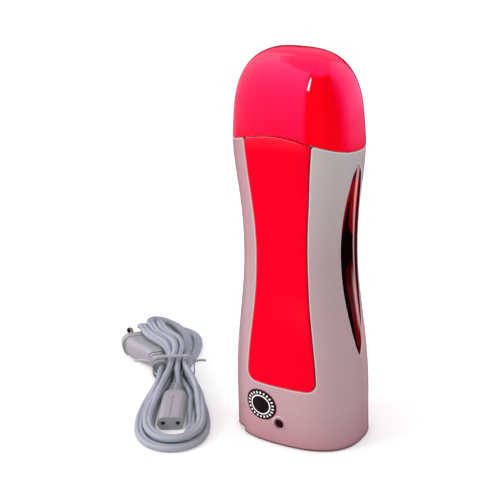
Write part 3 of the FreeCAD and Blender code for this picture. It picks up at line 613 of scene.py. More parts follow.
# ---------------------------------------------------------------------------
# cord
# ---------------------------------------------------------------------------
# Control points of the folded cord in the hank's own frame: across, along, height (mm), and the
# turn of its flat section in degrees (0 lies flat, 90 stands on edge).
ROUTE = [
    (-8, 1.4, 6.9, 60), (-8.2, -4, 6.4, 75), (-9, -11, 5, 70), (-11, -20, 3.6, 50), (-13.8, -31, 2.5, 20),
    (-16.4, -44, 1.9, 0), (-17.6, -58, 1.9, 0), (-17, -71, 1.9, 0), (-12.8, -82, 1.9, 0), (-4.8, -89, 1.9, 0),
    (4.8, -90.6, 1.9, 0), (13.8, -86.5, 1.9, 0), (19.6, -77, 1.9, 0), (20.9, -64, 1.9, 0), (19.8, -51, 1.95, 0),
    (18, -40, 2.4, 25), (16, -29.5, 2.9, 60), (13.2, -19, 3.1, 85), (9.8, -10, 3.5, 90), (7.1, -2.5, 3.75, 90),
    (7, 5, 3.7, 90), (8.4, 15, 3.1, 80), (10.6, 25, 2.7, 45), (12.8, 36, 2.1, 10), (13.8, 47, 1.9, 0),
    (12.2, 58, 1.9, 0), (5.6, 67, 1.9, 0), (-4, 71.4, 2, 0), (-14, 70.4, 3.4, 0), (-21.2, 64.6, 7, 0),
    (-23.7, 55.6, 11.6, 0), (-21.8, 46, 16, 0), (-19.3, 38, 16.3, 0), (-15.8, 30.2, 16.3, 20),
    (-10.6, 23.8, 16.2, 50), (-4.5, 17.8, 14.6, 70), (-2.5, 11.4, 9.6, 75), (-2, 5, 5, 90), (-1.7, -1.5, 3.75, 90),
    (-2.7, -11, 3.4, 90), (-5.4, -21, 3, 80), (-8.2, -32, 2.7, 50), (-10.5, -44, 2.1, 10), (-11.3, -57, 1.9, 0),
    (-11.2, -68, 1.9, 0), (-8.4, -77, 1.9, 0), (-2.2, -82.4, 1.9, 0), (5, -82.4, 1.9, 0), (10.6, -77, 1.9, 0),
    (12.9, -68, 1.9, 0), (12.6, -57, 2.2, 15), (12, -46, 2.8, 55), (11.8, -35, 3, 85), (10.5, -25.5, 3, 85),
    (8, -17, 2.9, 60), (5.2, -9, 3, 70), (2.8, -2, 3.75, 90), (2.6, 5, 3.7, 90), (3, 14, 3.1, 85),
    (4.6, 24, 2.8, 50), (6.8, 35, 2.1, 10), (7.8, 46, 1.95, 0), (6.4, 55, 2.8, 0), (1.4, 62.4, 5.2, 0),
    (-6.4, 66.4, 9.4, 0), (-13.6, 64.8, 12.3, 0), (-17.6, 57.6, 14.3, 0), (-16.2, 47.6, 16.3, 0),
    (-13.5, 38.4, 16.4, 0), (-9.7, 30.2, 16.4, 20), (-4.3, 23.6, 16.4, 55), (0.4, 17, 15.8, 75), (1, 10.4, 14.2, 80),
    (-0.6, 3.8, 11.2, 90), (-1.8, -4, 9.55, 90), (-3.6, -14, 9.2, 85), (-6.6, -26, 8.4, 60), (-9.4, -38, 7, 25),
    (-11.8, -50, 5.9, 0), (-12.9, -63, 5.7, 0), (-10.8, -75.5, 5.7, 0), (-4.4, -84, 5.7, 0), (4.6, -86.6, 5.7, 0),
    (13, -82.6, 5.7, 0), (18, -73, 5.7, 0), (19, -61, 5.8, 0), (18, -49.5, 6.2, 0), (17, -39, 7.4, 25),
    (15.2, -29, 8.7, 60), (12.2, -18.5, 9.3, 85), (8.8, -9, 9.6, 90), (7, -1, 9.6, 90), (6.9, 7, 9.4, 90),
    (7.4, 16, 8.8, 80), (7.8, 26, 7.8, 40), (7.8, 36, 6.2, 5), (7, 45, 5.8, 0), (5.2, 52, 6.6, 0),
    (0.8, 57.8, 8.8, 0), (-5, 60.2, 11.4, 0), (-10, 57.8, 13.6, 0), (-11, 51.6, 15.4, 0), (-9.2, 44.4, 16.5, 0),
    (-7.2, 37, 16.5, 0), (-2.9, 30.2, 16.5, 20), (2.4, 23.2, 16.1, 55), (5, 15.6, 14, 75), (3.4, 7.6, 11.4, 88),
    (2.8, -1, 9.55, 90), (2.6, -8, 8.8, 85), (2.45, -14.2, 6.3, 60), (2.4, -20.5, 4.4, 20),
]
YAW = math.radians(31.1)


def hank_world(v, u, w):
    return ((-99.0 + v * math.cos(YAW) - u * math.sin(YAW)) * MM,
            (15.0 + v * math.sin(YAW) + u * math.cos(YAW)) * MM, w * MM)


def nurbs_line(points, name, res=10):
    cu = bpy.data.curves.new(name, "CURVE")
    cu.dimensions = "3D"
    sp = cu.splines.new("NURBS")
    sp.points.add(len(points) - 1)
    for q, p in zip(sp.points, points):
        q.co = (p[0], p[1], p[2], 1.0)
    sp.order_u = 3
    sp.use_endpoint_u = True
    sp.resolution_u = res
    ob = bpy.data.objects.new(name, cu)
    scene.collection.objects.link(ob)
    me = bpy.data.meshes.new_from_object(ob)
    line = np.array([v.co[:] for v in me.vertices])
    bpy.data.objects.remove(ob)
    bpy.data.meshes.remove(me)
    bpy.data.curves.remove(cu)
    return line


def make_cord(material):
    line = nurbs_line([hank_world(*p[:3]) for p in ROUTE], "route")
    tilt = np.radians(nurbs_line([(p[3], 0.0, 0.0) for p in ROUTE], "tilt")[:, 0])
    t = np.gradient(line, axis=0)
    t /= np.linalg.norm(t, axis=1, keepdims=True)
    side = np.cross((0, 0, 1.0), t)
    side /= np.linalg.norm(side, axis=1, keepdims=True)
    top = np.cross(t, side)
    c, s = np.cos(tilt)[:, None], np.sin(tilt)[:, None]
    wide, thick = c * side + s * top, -s * side + c * top
    # two round cores side by side under one sheath, with a shallow groove between them
    sect, r, off = [], 1.8, 1.1
    for sign in (1, -1):
        for k in range(13):
            a = math.radians(-127.6 + 255.2 * k / 12)
            x, y = off + r * math.cos(a), r * math.sin(a)
            sect.append((sign * x, sign * y))
    sect = np.array(sect) * MM
    nrm = []
    for k in range(len(sect)):
        d = sect[(k + 1) % len(sect)] - sect[k - 1]
        nrm.append((d[1], -d[0]))
    nrm = np.array(nrm)
    nrm /= np.linalg.norm(nrm, axis=1, keepdims=True)
    v = line[:, None, :] + sect[None, :, :1] * wide[:, None, :] + sect[None, :, 1:] * thick[:, None, :]
    n = nrm[None, :, :1] * wide[:, None, :] + nrm[None, :, 1:] * thick[:, None, :]
    m, k = len(line), len(sect)
    faces = [[i * k + j, i * k + (j + 1) % k, (i + 1) * k + (j + 1) % k, (i + 1) * k + j]
             for i in range(m - 1) for j in range(k)]
    faces += [list(range(k))[::-1], [(m - 1) * k + j for j in range(k)]]
    me = bpy.data.meshes.new("mains_cord")
    me.from_pydata([tuple(q) for q in v.reshape(-1, 3)], [], faces)
    me.update()
    if me.polygons[0].normal.dot(Vector(n[0, 0])) < 0:
        me.flip_normals()
    me.polygons.foreach_set("use_smooth", [True] * len(me.polygons))
    me.normals_split_custom_set_from_vertices([tuple(q) for q in n.reshape(-1, 3)])
    # length along the cord and place round it, for the sheath's material
    run = np.concatenate([[0], np.cumsum(np.linalg.norm(np.diff(line, axis=0), axis=1))])
    uv = me.uv_layers.new(name="along")
    us = np.repeat(run, k)
    idx = np.zeros(len(me.loops), int)
    me.loops.foreach_get("vertex_index", idx)
    data = np.stack([us[idx], (idx % k) / k], -1)
    uv.data.foreach_set("uv", data.ravel())
    me.materials.append(material)
    ob = bpy.data.objects.new("mains_cord", me)
    scene.collection.objects.link(ob)
    own(ob, "cord_set", ("cord_hank",))
    return ob


# ---------------------------------------------------------------------------
# casing
# ---------------------------------------------------------------------------
def n_skin(d=0.0):
    return lambda u, v, p: skin_normal(p, d)


YL = -float(skin_front(np.array([0.0]), np.array([LAMP_Z]))[0, 1])
INLET_Z = 11.5


def wall_seam(P, N, T):
    out = fillet(0.05, 2)(P, N, T)
    q = out[-1][0]
    return out + [(q - N * 1.2, T), (q - N * 2.0, T), (q - N * 2.1, T), (q - N * 2.15, T)]


def wall_edge(r, kind):
    """Rounded edge, then the wall behind it: 'rim' and 'panel' are told apart by place, as are 'foot' and 'arch'."""
    def f(P, N, T):
        out = fillet(r)(P, N, T)
        q = out[-1][0]
        if kind == "rim":
            w = weight(sd_panel(P), 1.05, 1.5)[:, None]         # 1 on the rim, 0 in the panel's recess
            top_in = q - N * (2.2 - r)
            low_in = top_in - T * 4.0
            in1, in2 = q - N * 0.7, q - N * 1.4
            a = in1 + (top_in - in1) * w
            b = in2 + (low_in - in2) * w
            return out + [(a, T), (a, T * (1 - w) - N * w), (b, T * (1 - w) - N * w)]
        if kind == "foot":
            w = weight(P[:, 2], 4.2, 6.0)[:, None] * (np.abs(P[:, 1:2]) < 13.2) * (P[:, :1] < -20)
            top_in = q - N * (2.2 - r)
            low_in = top_in - T * 6.0
            far = q.copy()
            far[:, 0] = -31.0
            far2 = far - T * 1.0
            a = far * w + top_in * (1 - w)
            b = far2 * w + low_in * (1 - w)
            return out + [(a, T), (a, -N), (b, -N)]
        return out + [(q - N * 1.5, T), (q - N * 1.55, T), (q - N * 1.6, T)]
    return f


def lamp_ring(P, N, T):
    prof = [(4.5, 0.0), (4.34, 0.02), (4.2, 0.1), (4.12, 0.24), (4.08, 0.45), (4.02, 0.66), (3.9, 0.86), (3.72, 1.0),
            (3.48, 1.06), (3.26, 1.0), (3.1, 0.84), (2.98, 0.58), (2.9, 0.3), (2.86, -0.1), (2.85, -1.8)]
    a = np.arctan2(P[:, 2] - LAMP_Z, P[:, 0])
    e = np.stack([np.cos(a), np.zeros_like(a), np.sin(a)], -1)
    out = []
    for k in range(1, len(prof)):
        (r0, h0), (r1, h1) = prof[k - 1], prof[min(k + 1, len(prof) - 1)]
        t = np.array([r1 - r0, h1 - h0])
        t /= np.linalg.norm(t)
        r, h = prof[k]
        x, z = r * e[:, 0], LAMP_Z + r * e[:, 2]
        w = min(1.0, max(0.0, (4.5 - r) / 0.5))
        p = skin_front(x, z)
        p[:, 1] = p[:, 1] * (1 - w) - YL * w - h
        n = e * t[1] + np.array([0.0, -1.0, 0.0]) * (-t[0])
        out.append((p, n))
    return out


def screw_hole(P, N, T):
    out = fillet(0.25)(P, N, T)
    q = out[-1][0]
    foot = q.copy()
    foot[:, 1] = 14.0
    c = np.stack([np.sign(q[:, 0]) * 24.0, np.full(len(q), 14.0), np.full(len(q), 44.0)], -1)
    ring = c + (foot - c) * (1.5 / 3.0)
    up_ = np.broadcast_to(np.array([0.0, 1.0, 0.0]), q.shape)
    deep = ring.copy()
    deep[:, 1] = 8.0
    return out + [(foot, T), (foot, up_), (ring, up_), (ring, T), (deep, T)]


k_rim_panel = lambda p: smin(-sd_rim(p) - 0.7, sd_panel(p) - 0.86, 0.8)
k_rim = lambda p: -sd_rim(p) - 0.7
k_foot = lambda p: smin(-sd_foot(p) - 0.5, sd_arch(p) - 0.5, 1.0)
k_window = lambda p: sd_window(p) - 0.5
k_lamp = sd_lamp
k_screw = lambda p: sd_screw(p) - 0.25
k_front = lambda p: -p[..., 1] - 0.11
k_rear = lambda p: p[..., 1] - 0.11


def make_half(name, rear, material):
    m = Mesher()
    # painted shade: negative rim values make a dark line along the lower edge
    m.tag = lambda p: np.where(p[:, 2] < 30.0, -np.exp(-np.abs(sd_foot(p) + 0.5) / 0.7), 0.0)
    nu = 170
    if rear:
        us = np.linspace(0.0, math.pi, nu)
        keeps = [k_rear, k_rim, k_foot, k_window, k_screw]
        profs = [wall_seam, wall_edge(0.7, "rim"), wall_edge(0.5, "foot"), wall_edge(0.5, "window"), screw_hole]
    else:
        us = np.linspace(-math.pi, 0.0, nu)
        keeps = [k_front, k_rim_panel, k_foot, k_window, k_lamp]
        profs = [wall_seam, wall_edge(0.7, "rim"), wall_edge(0.5, "foot"), wall_edge(0.5, "window"), lamp_ring]
    vs = np.linspace(-0.4, 179.6, 236)
    border = clipped(m, us, vs, skin, n_skin(), keeps)
    lips(m, border, keeps, profs)
    # end wall of the inlet's pocket
    s = 1 if rear else -1
    ys = np.linspace(0.06, 12.4, 42) if rear else np.linspace(-12.4, -0.06, 42)
    pos = lambda u, v: np.stack([np.full(np.broadcast(u, v).shape, -31.0), u + 0 * v, v + 0 * u], -1)
    nn = lambda u, v, p: np.broadcast_to(np.array([-1.0, 0.0, 0.0]), p.shape)
    hole = lambda p: rounded(np.abs(p[..., 1]) - 9.5, np.abs(p[..., 2] - INLET_Z) - 5.2, 1.7)
    clipped(m, ys[::-1], np.linspace(3.6, 20.2, 50), pos, nn, [lambda p: -sd_arch(p) + 0.02, hole], flip=False)
    return m.build(name, material, "heater", ("rear_shell" if rear else "front_shell",))


def make_panel(material):
    m = Mesher()
    # rim mask near the panel's edge, for its painted shade
    m.tag = lambda p: np.exp(-np.abs(sd_panel(p)) / 1.3)
    k = lambda p: smin(-sd_panel(p) - 0.7, -sd_rim(p) - 0.82, 1.6)
    pos = lambda u, v: skin_front(u, v, -0.25)
    border = clipped(m, np.linspace(-22.4, 22.4, 120), np.linspace(35.6, 178.6, 320), pos, n_skin(-0.25), [k], flip=False)

    def prof(P, N, T):
        out = fillet(0.7, 6)(P, N, T)
        q = out[-1][0]
        return out + [(q - N * 0.7, T), (q - N * 0.72, T)]
    lips(m, border, [k], [prof])
    return m.build("panel", material, "heater", ("front_panel",))


def make_window(name, sign, material):
    m = Mesher()
    k = lambda p: -sd_window(p) - 0.14 - 0.15
    pos = lambda u, v: skin_side(u, v, sign, 0.3)
    border = clipped(m, np.linspace(-10.2, 10.2, 60), np.linspace(51.4, 161.6, 230), pos, n_skin(0.3), [k], flip=False)

    def prof(P, N, T):
        out = fillet(0.15, 3)(P, N, T)
        q = out[-1][0]
        return out + [(q - N * 2.1, T)]
    lips(m, border, [k], [prof])
    # inner face of the lens
    pos2 = lambda u, v: skin_side(u, v, sign, 2.6)
    k2 = lambda p: -sd_window(p) - 0.14
    clipped(m, np.linspace(-10.2, 10.2, 40), np.linspace(51.4, 161.6, 120), pos2, n_skin(2.6), [k2], flip=True)
    if sign < 0:
        m.f = [f[::-1] for f in m.f]
    return m.build(name, material, "heater", (name.replace("smoke_", "side_"),))


def cap_pos(d, top):
    def f(u, v):
        u, v = np.broadcast_arrays(np.asarray(u, float), np.asarray(v, float))
        low = v <= 0
        psi = np.clip(v, 0, math.pi / 2)
        t = np.sin(psi) ** (2 / 2.6)
        z = np.where(low, DOME_Z + v * 24.0, DOME_Z + (top - DOME_Z) * t)
        return skin(u, z, d, top)
    return f


def n_param(pos, inward=False):
    def f(u, v, p):
        e = 2e-4
        du = pos(u + e, v) - pos(u - e, v)
        dv = pos(u, v + e) - pos(u, v - e)
        n = np.cross(du, dv)
        n /= np.maximum(np.linalg.norm(n, axis=-1, keepdims=True), 1e-12)
        return n
    return f


def make_cap(material):
    m = Mesher()
    k = lambda p: sd_rim(p) - 0.68
    us = np.linspace(0, 2 * math.pi, 201)
    psi = np.radians(np.concatenate([np.linspace(0, 8, 9)[1:], np.linspace(8, 84, 58)[1:], [85.5, 86.8, 87.8, 88.6]]))
    vs = np.concatenate([np.linspace(-0.82, 0, 27), psi])
    pos = cap_pos(0.0, TOP)
    border = clipped(m, us, vs, pos, n_param(pos), [k], wrap=True)
    top_ids = []
    edge = {a: b for a, b in border}
    zmax = max(m.v[a][2] for a in edge)
    ring = [a for a in edge if m.v[a][2] > zmax - 0.3 and m.v[a][2] > 215]
    pole = m.add((0, 0, TOP), (0, 0, 1))
    for a in ring:
        m.f.append([edge[a], a, pole])
    border = [(a, b) for a, b in border if a not in set(ring)]

    def prof(P, N, T):
        out = fillet(0.4)(P, N, T)
        q = out[-1][0]
        return out + [(q - N * 1.2, T)]
    lips(m, border, [k], [prof])
    pos_in = cap_pos(1.6, TOP - 1.7)
    k_in = lambda p: sd_rim(p) - 0.28
    vs_in = np.concatenate([np.linspace(-0.82, 0, 20), np.radians(np.linspace(4, 88, 24))])
    b_in = clipped(m, np.linspace(0, 2 * math.pi, 101), vs_in, pos_in, n_param(pos_in), [k_in], wrap=True, flip=True)
    edge = {a: b for a, b in b_in}
    ring = [a for a in edge if m.v[a][2] > 215]
    pole = m.add((0, 0, TOP - 1.7), (0, 0, -1))
    for a in ring:
        m.f.append([edge[a], a, pole])
    return m.build("lid", material, "cap", ("cap",))


def make_badge(material):
    m = Mesher()
    bx, bz, rx, rz = BADGE

    def pos(u, v):
        u, v = np.broadcast_arrays(np.asarray(u, float), np.asarray(v, float))
        x, z = bx + rx * v * np.cos(u), bz + rz * v * np.sin(u)
        h = 0.42 * np.sqrt(np.maximum(0, 1 - v ** 10)) + 0.28 * (1 - v ** 2) - 0.02
        p = skin_front(x, z)
        n = skin_normal(p)
        return p + n * h[..., None]

    us = np.linspace(0, 2 * math.pi, 97)
    vs = np.array([0.02, 0.1, 0.2, 0.3, 0.4, 0.5, 0.6, 0.7, 0.78, 0.84, 0.88, 0.91, 0.935, 0.955, 0.97, 0.982, 0.991, 0.997, 1.0])
    nn = n_param(pos)
    U, W = np.meshgrid(us[:-1], vs, indexing="ij")
    P = pos(U, W)
    N = -nn(U, np.minimum(W, 0.9985), P)
    ids = [[m.add(P[i, j], N[i, j]) for j in range(len(vs))] for i in range(len(us) - 1)]
    ids.append(ids[0])
    c = pos(np.array([0.0]), np.array([0.0]))[0]
    pole = m.add(c, skin_normal(c))
    for i in range(len(us) - 1):
        m.f.append([ids[i][0], ids[i + 1][0], pole])
        for j in range(len(vs) - 1):
            m.f.append([ids[i][j], ids[i][j + 1], ids[i + 1][j + 1], ids[i + 1][j]])
    return m.build("badge_disc", material, "heater", ("badge",))
# ---------------------------------------------------------------------------
# finishes
# ---------------------------------------------------------------------------
def plastic(name, c, rough=0.35, spread=0.06, tint=0.93, grain=900.0, bump=0.05, coat=0.0, spec=0.5):
    """Moulded plastic: faint cloudiness, fine skin texture, uneven gloss."""
    m = Mat(name)
    dark = tuple(q * tint for q in c[:3]) + (1.0,)
    m.color(m.mix(m.remap(m.noise(38.0, 4.0), 0.3, 0.7, 0, 1), c, dark))
    m.rough(m.noise(160.0, 2.0), max(0.02, rough - spread), rough + spread)
    m.bump(m.noise(grain, 2.0), bump, 0.0001)
    m.set(Specular_IOR_Level=spec, Coat_Weight=coat, Coat_Roughness=0.06)
    return m


def metal(name, c, rough=0.3, stretch=(1, 1, 30), bump=0.06):
    m = Mat(name)
    dark = tuple(q * 0.8 for q in c[:3]) + (1.0,)
    v = m.noise(260.0, 4.0, stretch=stretch)
    m.color(m.mix(m.remap(v, 0.3, 0.7, 0, 1), c, dark))
    m.rough(v, rough * 0.7, rough * 1.4)
    m.bump(v, bump, 0.0001)
    m.set(Metallic=1.0)
    return m


def height_tint(m, stops):
    """Colour that changes slowly with height; stops are (height in mm, colour)."""
    x, y, z = m.xyz("Object")
    wob = m.math("MULTIPLY", m.math("SUBTRACT", m.noise(16.0, 3.0), 0.5), 0.03)
    t = m.math("ADD", m.remap(z, 0.0, 0.22, 0.0, 1.0), wob, True)
    return m.ramp(t, [(h / 220.0, (*c, 1.0)) for h, c in stops])


def pearl_finish():
    m = Mat("pearl_white")
    # darker towards the bottom as painted shade, and pinker towards the bottom
    base = height_tint(m, [(0, (0.30, 0.125, 0.15)), (5, (0.36, 0.165, 0.19)), (12, (0.375, 0.205, 0.23)), (24, (0.385, 0.237, 0.258)),
                           (60, (0.375, 0.255, 0.272)), (110, (0.345, 0.262, 0.27)), (140, (0.37, 0.315, 0.32)),
                           (172, (0.395, 0.36, 0.363))])
    # painted shade: the casing's left flank darker
    left_flank_shade = m.remap(m.xyz("Object")[0], -0.029, -0.023, 1.0, 0.0)
    base = m.mix(m.math("MULTIPLY", left_flank_shade, 0.8), base, (0.285, 0.172, 0.187, 1))
    x, y, z = m.xyz("Object")
    # painted shade: the upper front of the left side darker towards its left edge
    left = m.mix(m.remap(x, -0.031, -0.022, 0.0, 1.0), (0.30, 0.15, 0.165, 1), (0.37, 0.212, 0.232, 1))
    upper_left_shade_mask = m.math("MULTIPLY", m.remap(x, -0.0200, -0.0155, 1.0, 0.0), m.remap(z, 0.085, 0.110, 0.0, 1.0))
    base = m.mix(m.math("MULTIPLY", upper_left_shade_mask, m.remap(y, 0.004, 0.022, 1.0, 0.0)), base, left)
    # painted highlight: a pale pink strip on the right side, about 44 to 67 mm high
    right_strip_highlight = m.lookup(m.math("MULTIPLY", z, 1000.0), [(0, 0.15), (30, 0.3), (44, 0.45), (55, 0.75), (67, 0.75), (78, 0.3), (100, 0.1),
                                                    (172, 0.05)], 0.0, 1.0)
    for v, a, b, c, d in ((x, 0.028, 0.031, 0.0, 1.0), (y, -0.001, 0.006, 0.0, 1.0), (y, 0.011, 0.021, 1.0, 0.0)):
        right_strip_highlight = m.math("MULTIPLY", right_strip_highlight, m.remap(v, a, b, c, d))
    base = m.mix(right_strip_highlight, base, (0.56, 0.31, 0.31, 1))
    cloud = m.remap(m.noise(24.0, 3.0, stretch=(1, 1, 0.35)), 0.3, 0.7, 0.0, 0.07)
    base = m.mix(cloud, base, (0.60, 0.55, 0.55, 1))
    flake = m.remap(m.voronoi(2600.0), 0.0, 0.5, 0.0, 0.04)
    base = m.mix(flake, base, (0.80, 0.75, 0.75, 1))
    # painted highlight: lighter colour along the rounded edges, stronger round the lamp
    edge_highlight = m.math("MULTIPLY", m.remap(m.rim(), 0.2, 0.8, 0.0, 0.45), m.remap(m.xyz("Object")[2], 0.006, 0.012, 0.0, 1.0))
    edge_highlight = m.math("ADD", edge_highlight, m.remap(m.rim(), 1.0, 2.0, 0.0, 0.35))
    base = m.mix(edge_highlight, base, (0.80, 0.66, 0.68, 1))
    # painted shade: dark maroon where the rim mask is negative, along the lower edge and deep in the panel's gap
    m.color(m.mix(m.remap(m.rim(), -0.9, -0.35, 1.0, 0.0), base, (0.10, 0.018, 0.032, 1)))
    m.rough(m.noise(90.0, 2.0), 0.33, 0.41)
    m.bump(m.noise(420.0, 2.0), 0.03, 0.0001)
    m.set(Specular_IOR_Level=0.30, Coat_Weight=0.0)
    return m.m


def panel_finish():
    m = Mat("panel_red")
    v = m.remap(m.noise(30.0, 3.0), 0.3, 0.7, 0.0, 1.0)
    red = m.mix(v, (0.75, 0.0002, 0.0155, 1), (0.71, 0.0002, 0.0135, 1))
    # painted shade: darker red along the panel's rounded edges
    m.color(m.mix(m.remap(m.rim(), 0.25, 1.0, 0.0, 0.42), red, (0.34, 0.0002, 0.020, 1)))
    m.rough(m.noise(140.0, 2.0), 0.04, 0.07)
    m.bump(m.noise(300.0, 1.0), 0.02, 0.0001)
    m.set(Specular_IOR_Level=0.45, Coat_Weight=0.0)
    return m.m


def cap_finish():
    m = Mat("cap_red")
    v = m.remap(m.noise(28.0, 3.0), 0.3, 0.7, 0.0, 1.0)
    m.color(m.mix(v, (0.99, 0.0006, 0.012, 1), (0.94, 0.0006, 0.009, 1)))
    m.rough(m.noise(120.0, 2.0), 0.03, 0.05)
    m.bump(m.noise(300.0, 1.0), 0.02, 0.0001)
    m.set(Specular_IOR_Level=0.5, IOR=1.8, Specular_Tint=(1.0, 0.135, 0.62, 1.0), Coat_Weight=1.0, Coat_IOR=1.01,
          Coat_Roughness=0.03, Coat_Tint=(0.95, 0.84, 0.86, 1.0))
    return m.m


def smoke_finish():
    """Tinted clear window whose colour paints the dark well behind it: black where the well lies in painted shade, red
    patches that change with height, and painted shade towards the rear edge.
    """
    m = Mat("window_smoke")
    x, y, z = m.xyz("Object")
    wob = m.math("MULTIPLY", m.math("SUBTRACT", m.noise(110.0, 2.0), 0.5), 1.1)
    y = m.math("ADD", m.math("MULTIPLY", y, 1000.0), wob)
    z = m.math("MULTIPLY", z, 1000.0)
    zn = m.math("DIVIDE", z, 220.0)
    red = m.ramp(zn, [(h / 220.0, (*c, 1.0)) for h, c in [
        (53, (0.02, 0.001, 0.001)), (59, (0.19, 0.003, 0.004)), (72, (0.17, 0.004, 0.006)), (80, (0.15, 0.010, 0.016)),
        (90, (0.11, 0.007, 0.012)), (97, (0.060, 0.001, 0.002)), (106, (0.055, 0.001, 0.002)),
        (124, (0.20, 0.001, 0.003)), (140, (0.34, 0.001, 0.003)), (150, (0.34, 0.005, 0.008)), (156, (0.09, 0.001, 0.002)),
        (160, (0.045, 0.001, 0.002))]])
    right = m.lookup(z, [(52, -1.0), (60, -1.8), (72, -3.0), (84, -4.4), (96, -6.2), (104, -6.8), (109, 6.0), (120, 6.0),
                         (123, -1.3), (128, -4.0), (136, -4.4), (145, -4.0), (150, -5.4)], -20.0, 20.0)
    left = m.lookup(z, [(52, -20), (119, -20), (121, -9.6), (130, -8.3), (137, -7.4), (145, -5.0), (150, -4.4), (160, 2.0)], -20.0, 20.0)
    # painted shade: black where the well behind the window lies in shade
    black = m.math("MULTIPLY", m.remap(m.math("SUBTRACT", right, y), -0.3, 0.4, 0.0, 1.0),
                   m.remap(m.math("SUBTRACT", y, left), -0.3, 0.4, 0.0, 1.0))
    base = m.mix(black, red, (0.006, 0.0008, 0.0012, 1))
    # painted shade: darker red towards the window's rear edge
    base = m.mix(m.remap(y, 3.0, 4.4, 0.0, 1.0), base, (0.085, 0.0012, 0.0025, 1))
    m.color(base)
    m.rough(m.math("ADD", m.noise(200.0, 2.0), m.remap(z, 155.0, 157.5, 0.0, 14.0)), 0.02, 0.05)
    m.bump(m.noise(260.0, 1.0), 0.015, 0.0001)
    m.set(Transmission_Weight=0.25, IOR=1.49)
    return m.m


def badge_finish():
    m = Mat("badge_black")
    x, y, z = m.xyz("Object")
    bx, bz, rx, rz = BADGE
    dx = m.math("DIVIDE", m.math("SUBTRACT", x, bx * MM), rx * MM)
    dz = m.math("DIVIDE", m.math("SUBTRACT", z, bz * MM), rz * MM)
    r = m.math("SQRT", m.math("ADD", m.math("MULTIPLY", dx, dx), m.math("MULTIPLY", dz, dz)))
    edge = m.remap(r, 0.93, 0.99, 0.0, 1.0)
    black = m.mix(m.remap(m.noise(60.0, 3.0), 0.3, 0.7, 0, 1), (0.006, 0.004, 0.005, 1), (0.012, 0.008, 0.009, 1))
    col = m.mix(edge, black, (0.12, 0.004, 0.012, 1))
    # plain ring and a circle of short marks, like a dial's
    ring = m.math("SUBTRACT", 1.0, m.remap(m.math("ABSOLUTE", m.math("SUBTRACT", r, 0.60)), 0.026, 0.042, 0.0, 1.0))
    turn = m.math("MULTIPLY", m.math("ARCTAN2", dz, dx), 22.0 / (2 * math.pi))
    saw = m.math("ABSOLUTE", m.math("SUBTRACT", m.math("FRACT", m.math("ADD", turn, 40.0)), 0.5))
    tick = m.math("SUBTRACT", 1.0, m.remap(saw, 0.17, 0.23, 0.0, 1.0))
    band = m.math("SUBTRACT", 1.0, m.remap(m.math("ABSOLUTE", m.math("SUBTRACT", r, 0.79)), 0.055, 0.075, 0.0, 1.0))
    print_ = m.math("MAXIMUM", ring, m.math("MULTIPLY", tick, band))
    m.color(m.mix(print_, col, (0.86, 0.82, 0.83, 1)))
    m.rough(m.noise(180.0, 2.0), 0.06, 0.12)
    m.bump(m.noise(500.0, 2.0), 0.015, 0.0001)
    m.set(Specular_IOR_Level=0.12)
    return m.m


def lens_finish():
    m = Mat("lens_red")
    v = m.remap(m.noise(300.0, 2.0), 0.3, 0.7, 0.0, 1.0)
    m.color(m.mix(v, (0.030, 0.002, 0.004, 1), (0.016, 0.001, 0.002, 1)))
    m.rough(m.noise(500.0, 2.0), 0.10, 0.16)
    m.bump(m.voronoi(1400.0), 0.05, 0.0001)
    m.set(Specular_IOR_Level=0.12)
    return m.m


def cord_finish():
    m = Mat("cord_grey")
    v = m.remap(m.noise(90.0, 4.0), 0.3, 0.7, 0.0, 1.0)
    m.color(m.mix(v, (0.300, 0.340, 0.375, 1), (0.255, 0.290, 0.325, 1)))
    m.rough(m.noise(260.0, 3.0), 0.34, 0.5)
    # faint rings that the sheath's extrusion leaves
    n = m.nt.nodes.new("ShaderNodeTexWave")
    n.inputs["Scale"].default_value = 260.0
    n.inputs["Distortion"].default_value = 1.2
    uv = m.nt.nodes.new("ShaderNodeUVMap")
    uv.uv_map = "along"
    m.link(uv.outputs[0], n.inputs["Vector"])
    m.bump(n.outputs["Fac"], 0.06, 0.0002)
    m.bump(m.noise(1500.0, 2.0), 0.08, 0.0001)
    m.set(Specular_IOR_Level=0.45)
    return m.m


def rubber(name, c, rough=0.6):
    m = plastic(name, c, rough, 0.08, 0.88, 700.0, 0.25)
    m.set(Sheen_Weight=0.1)
    return m.m


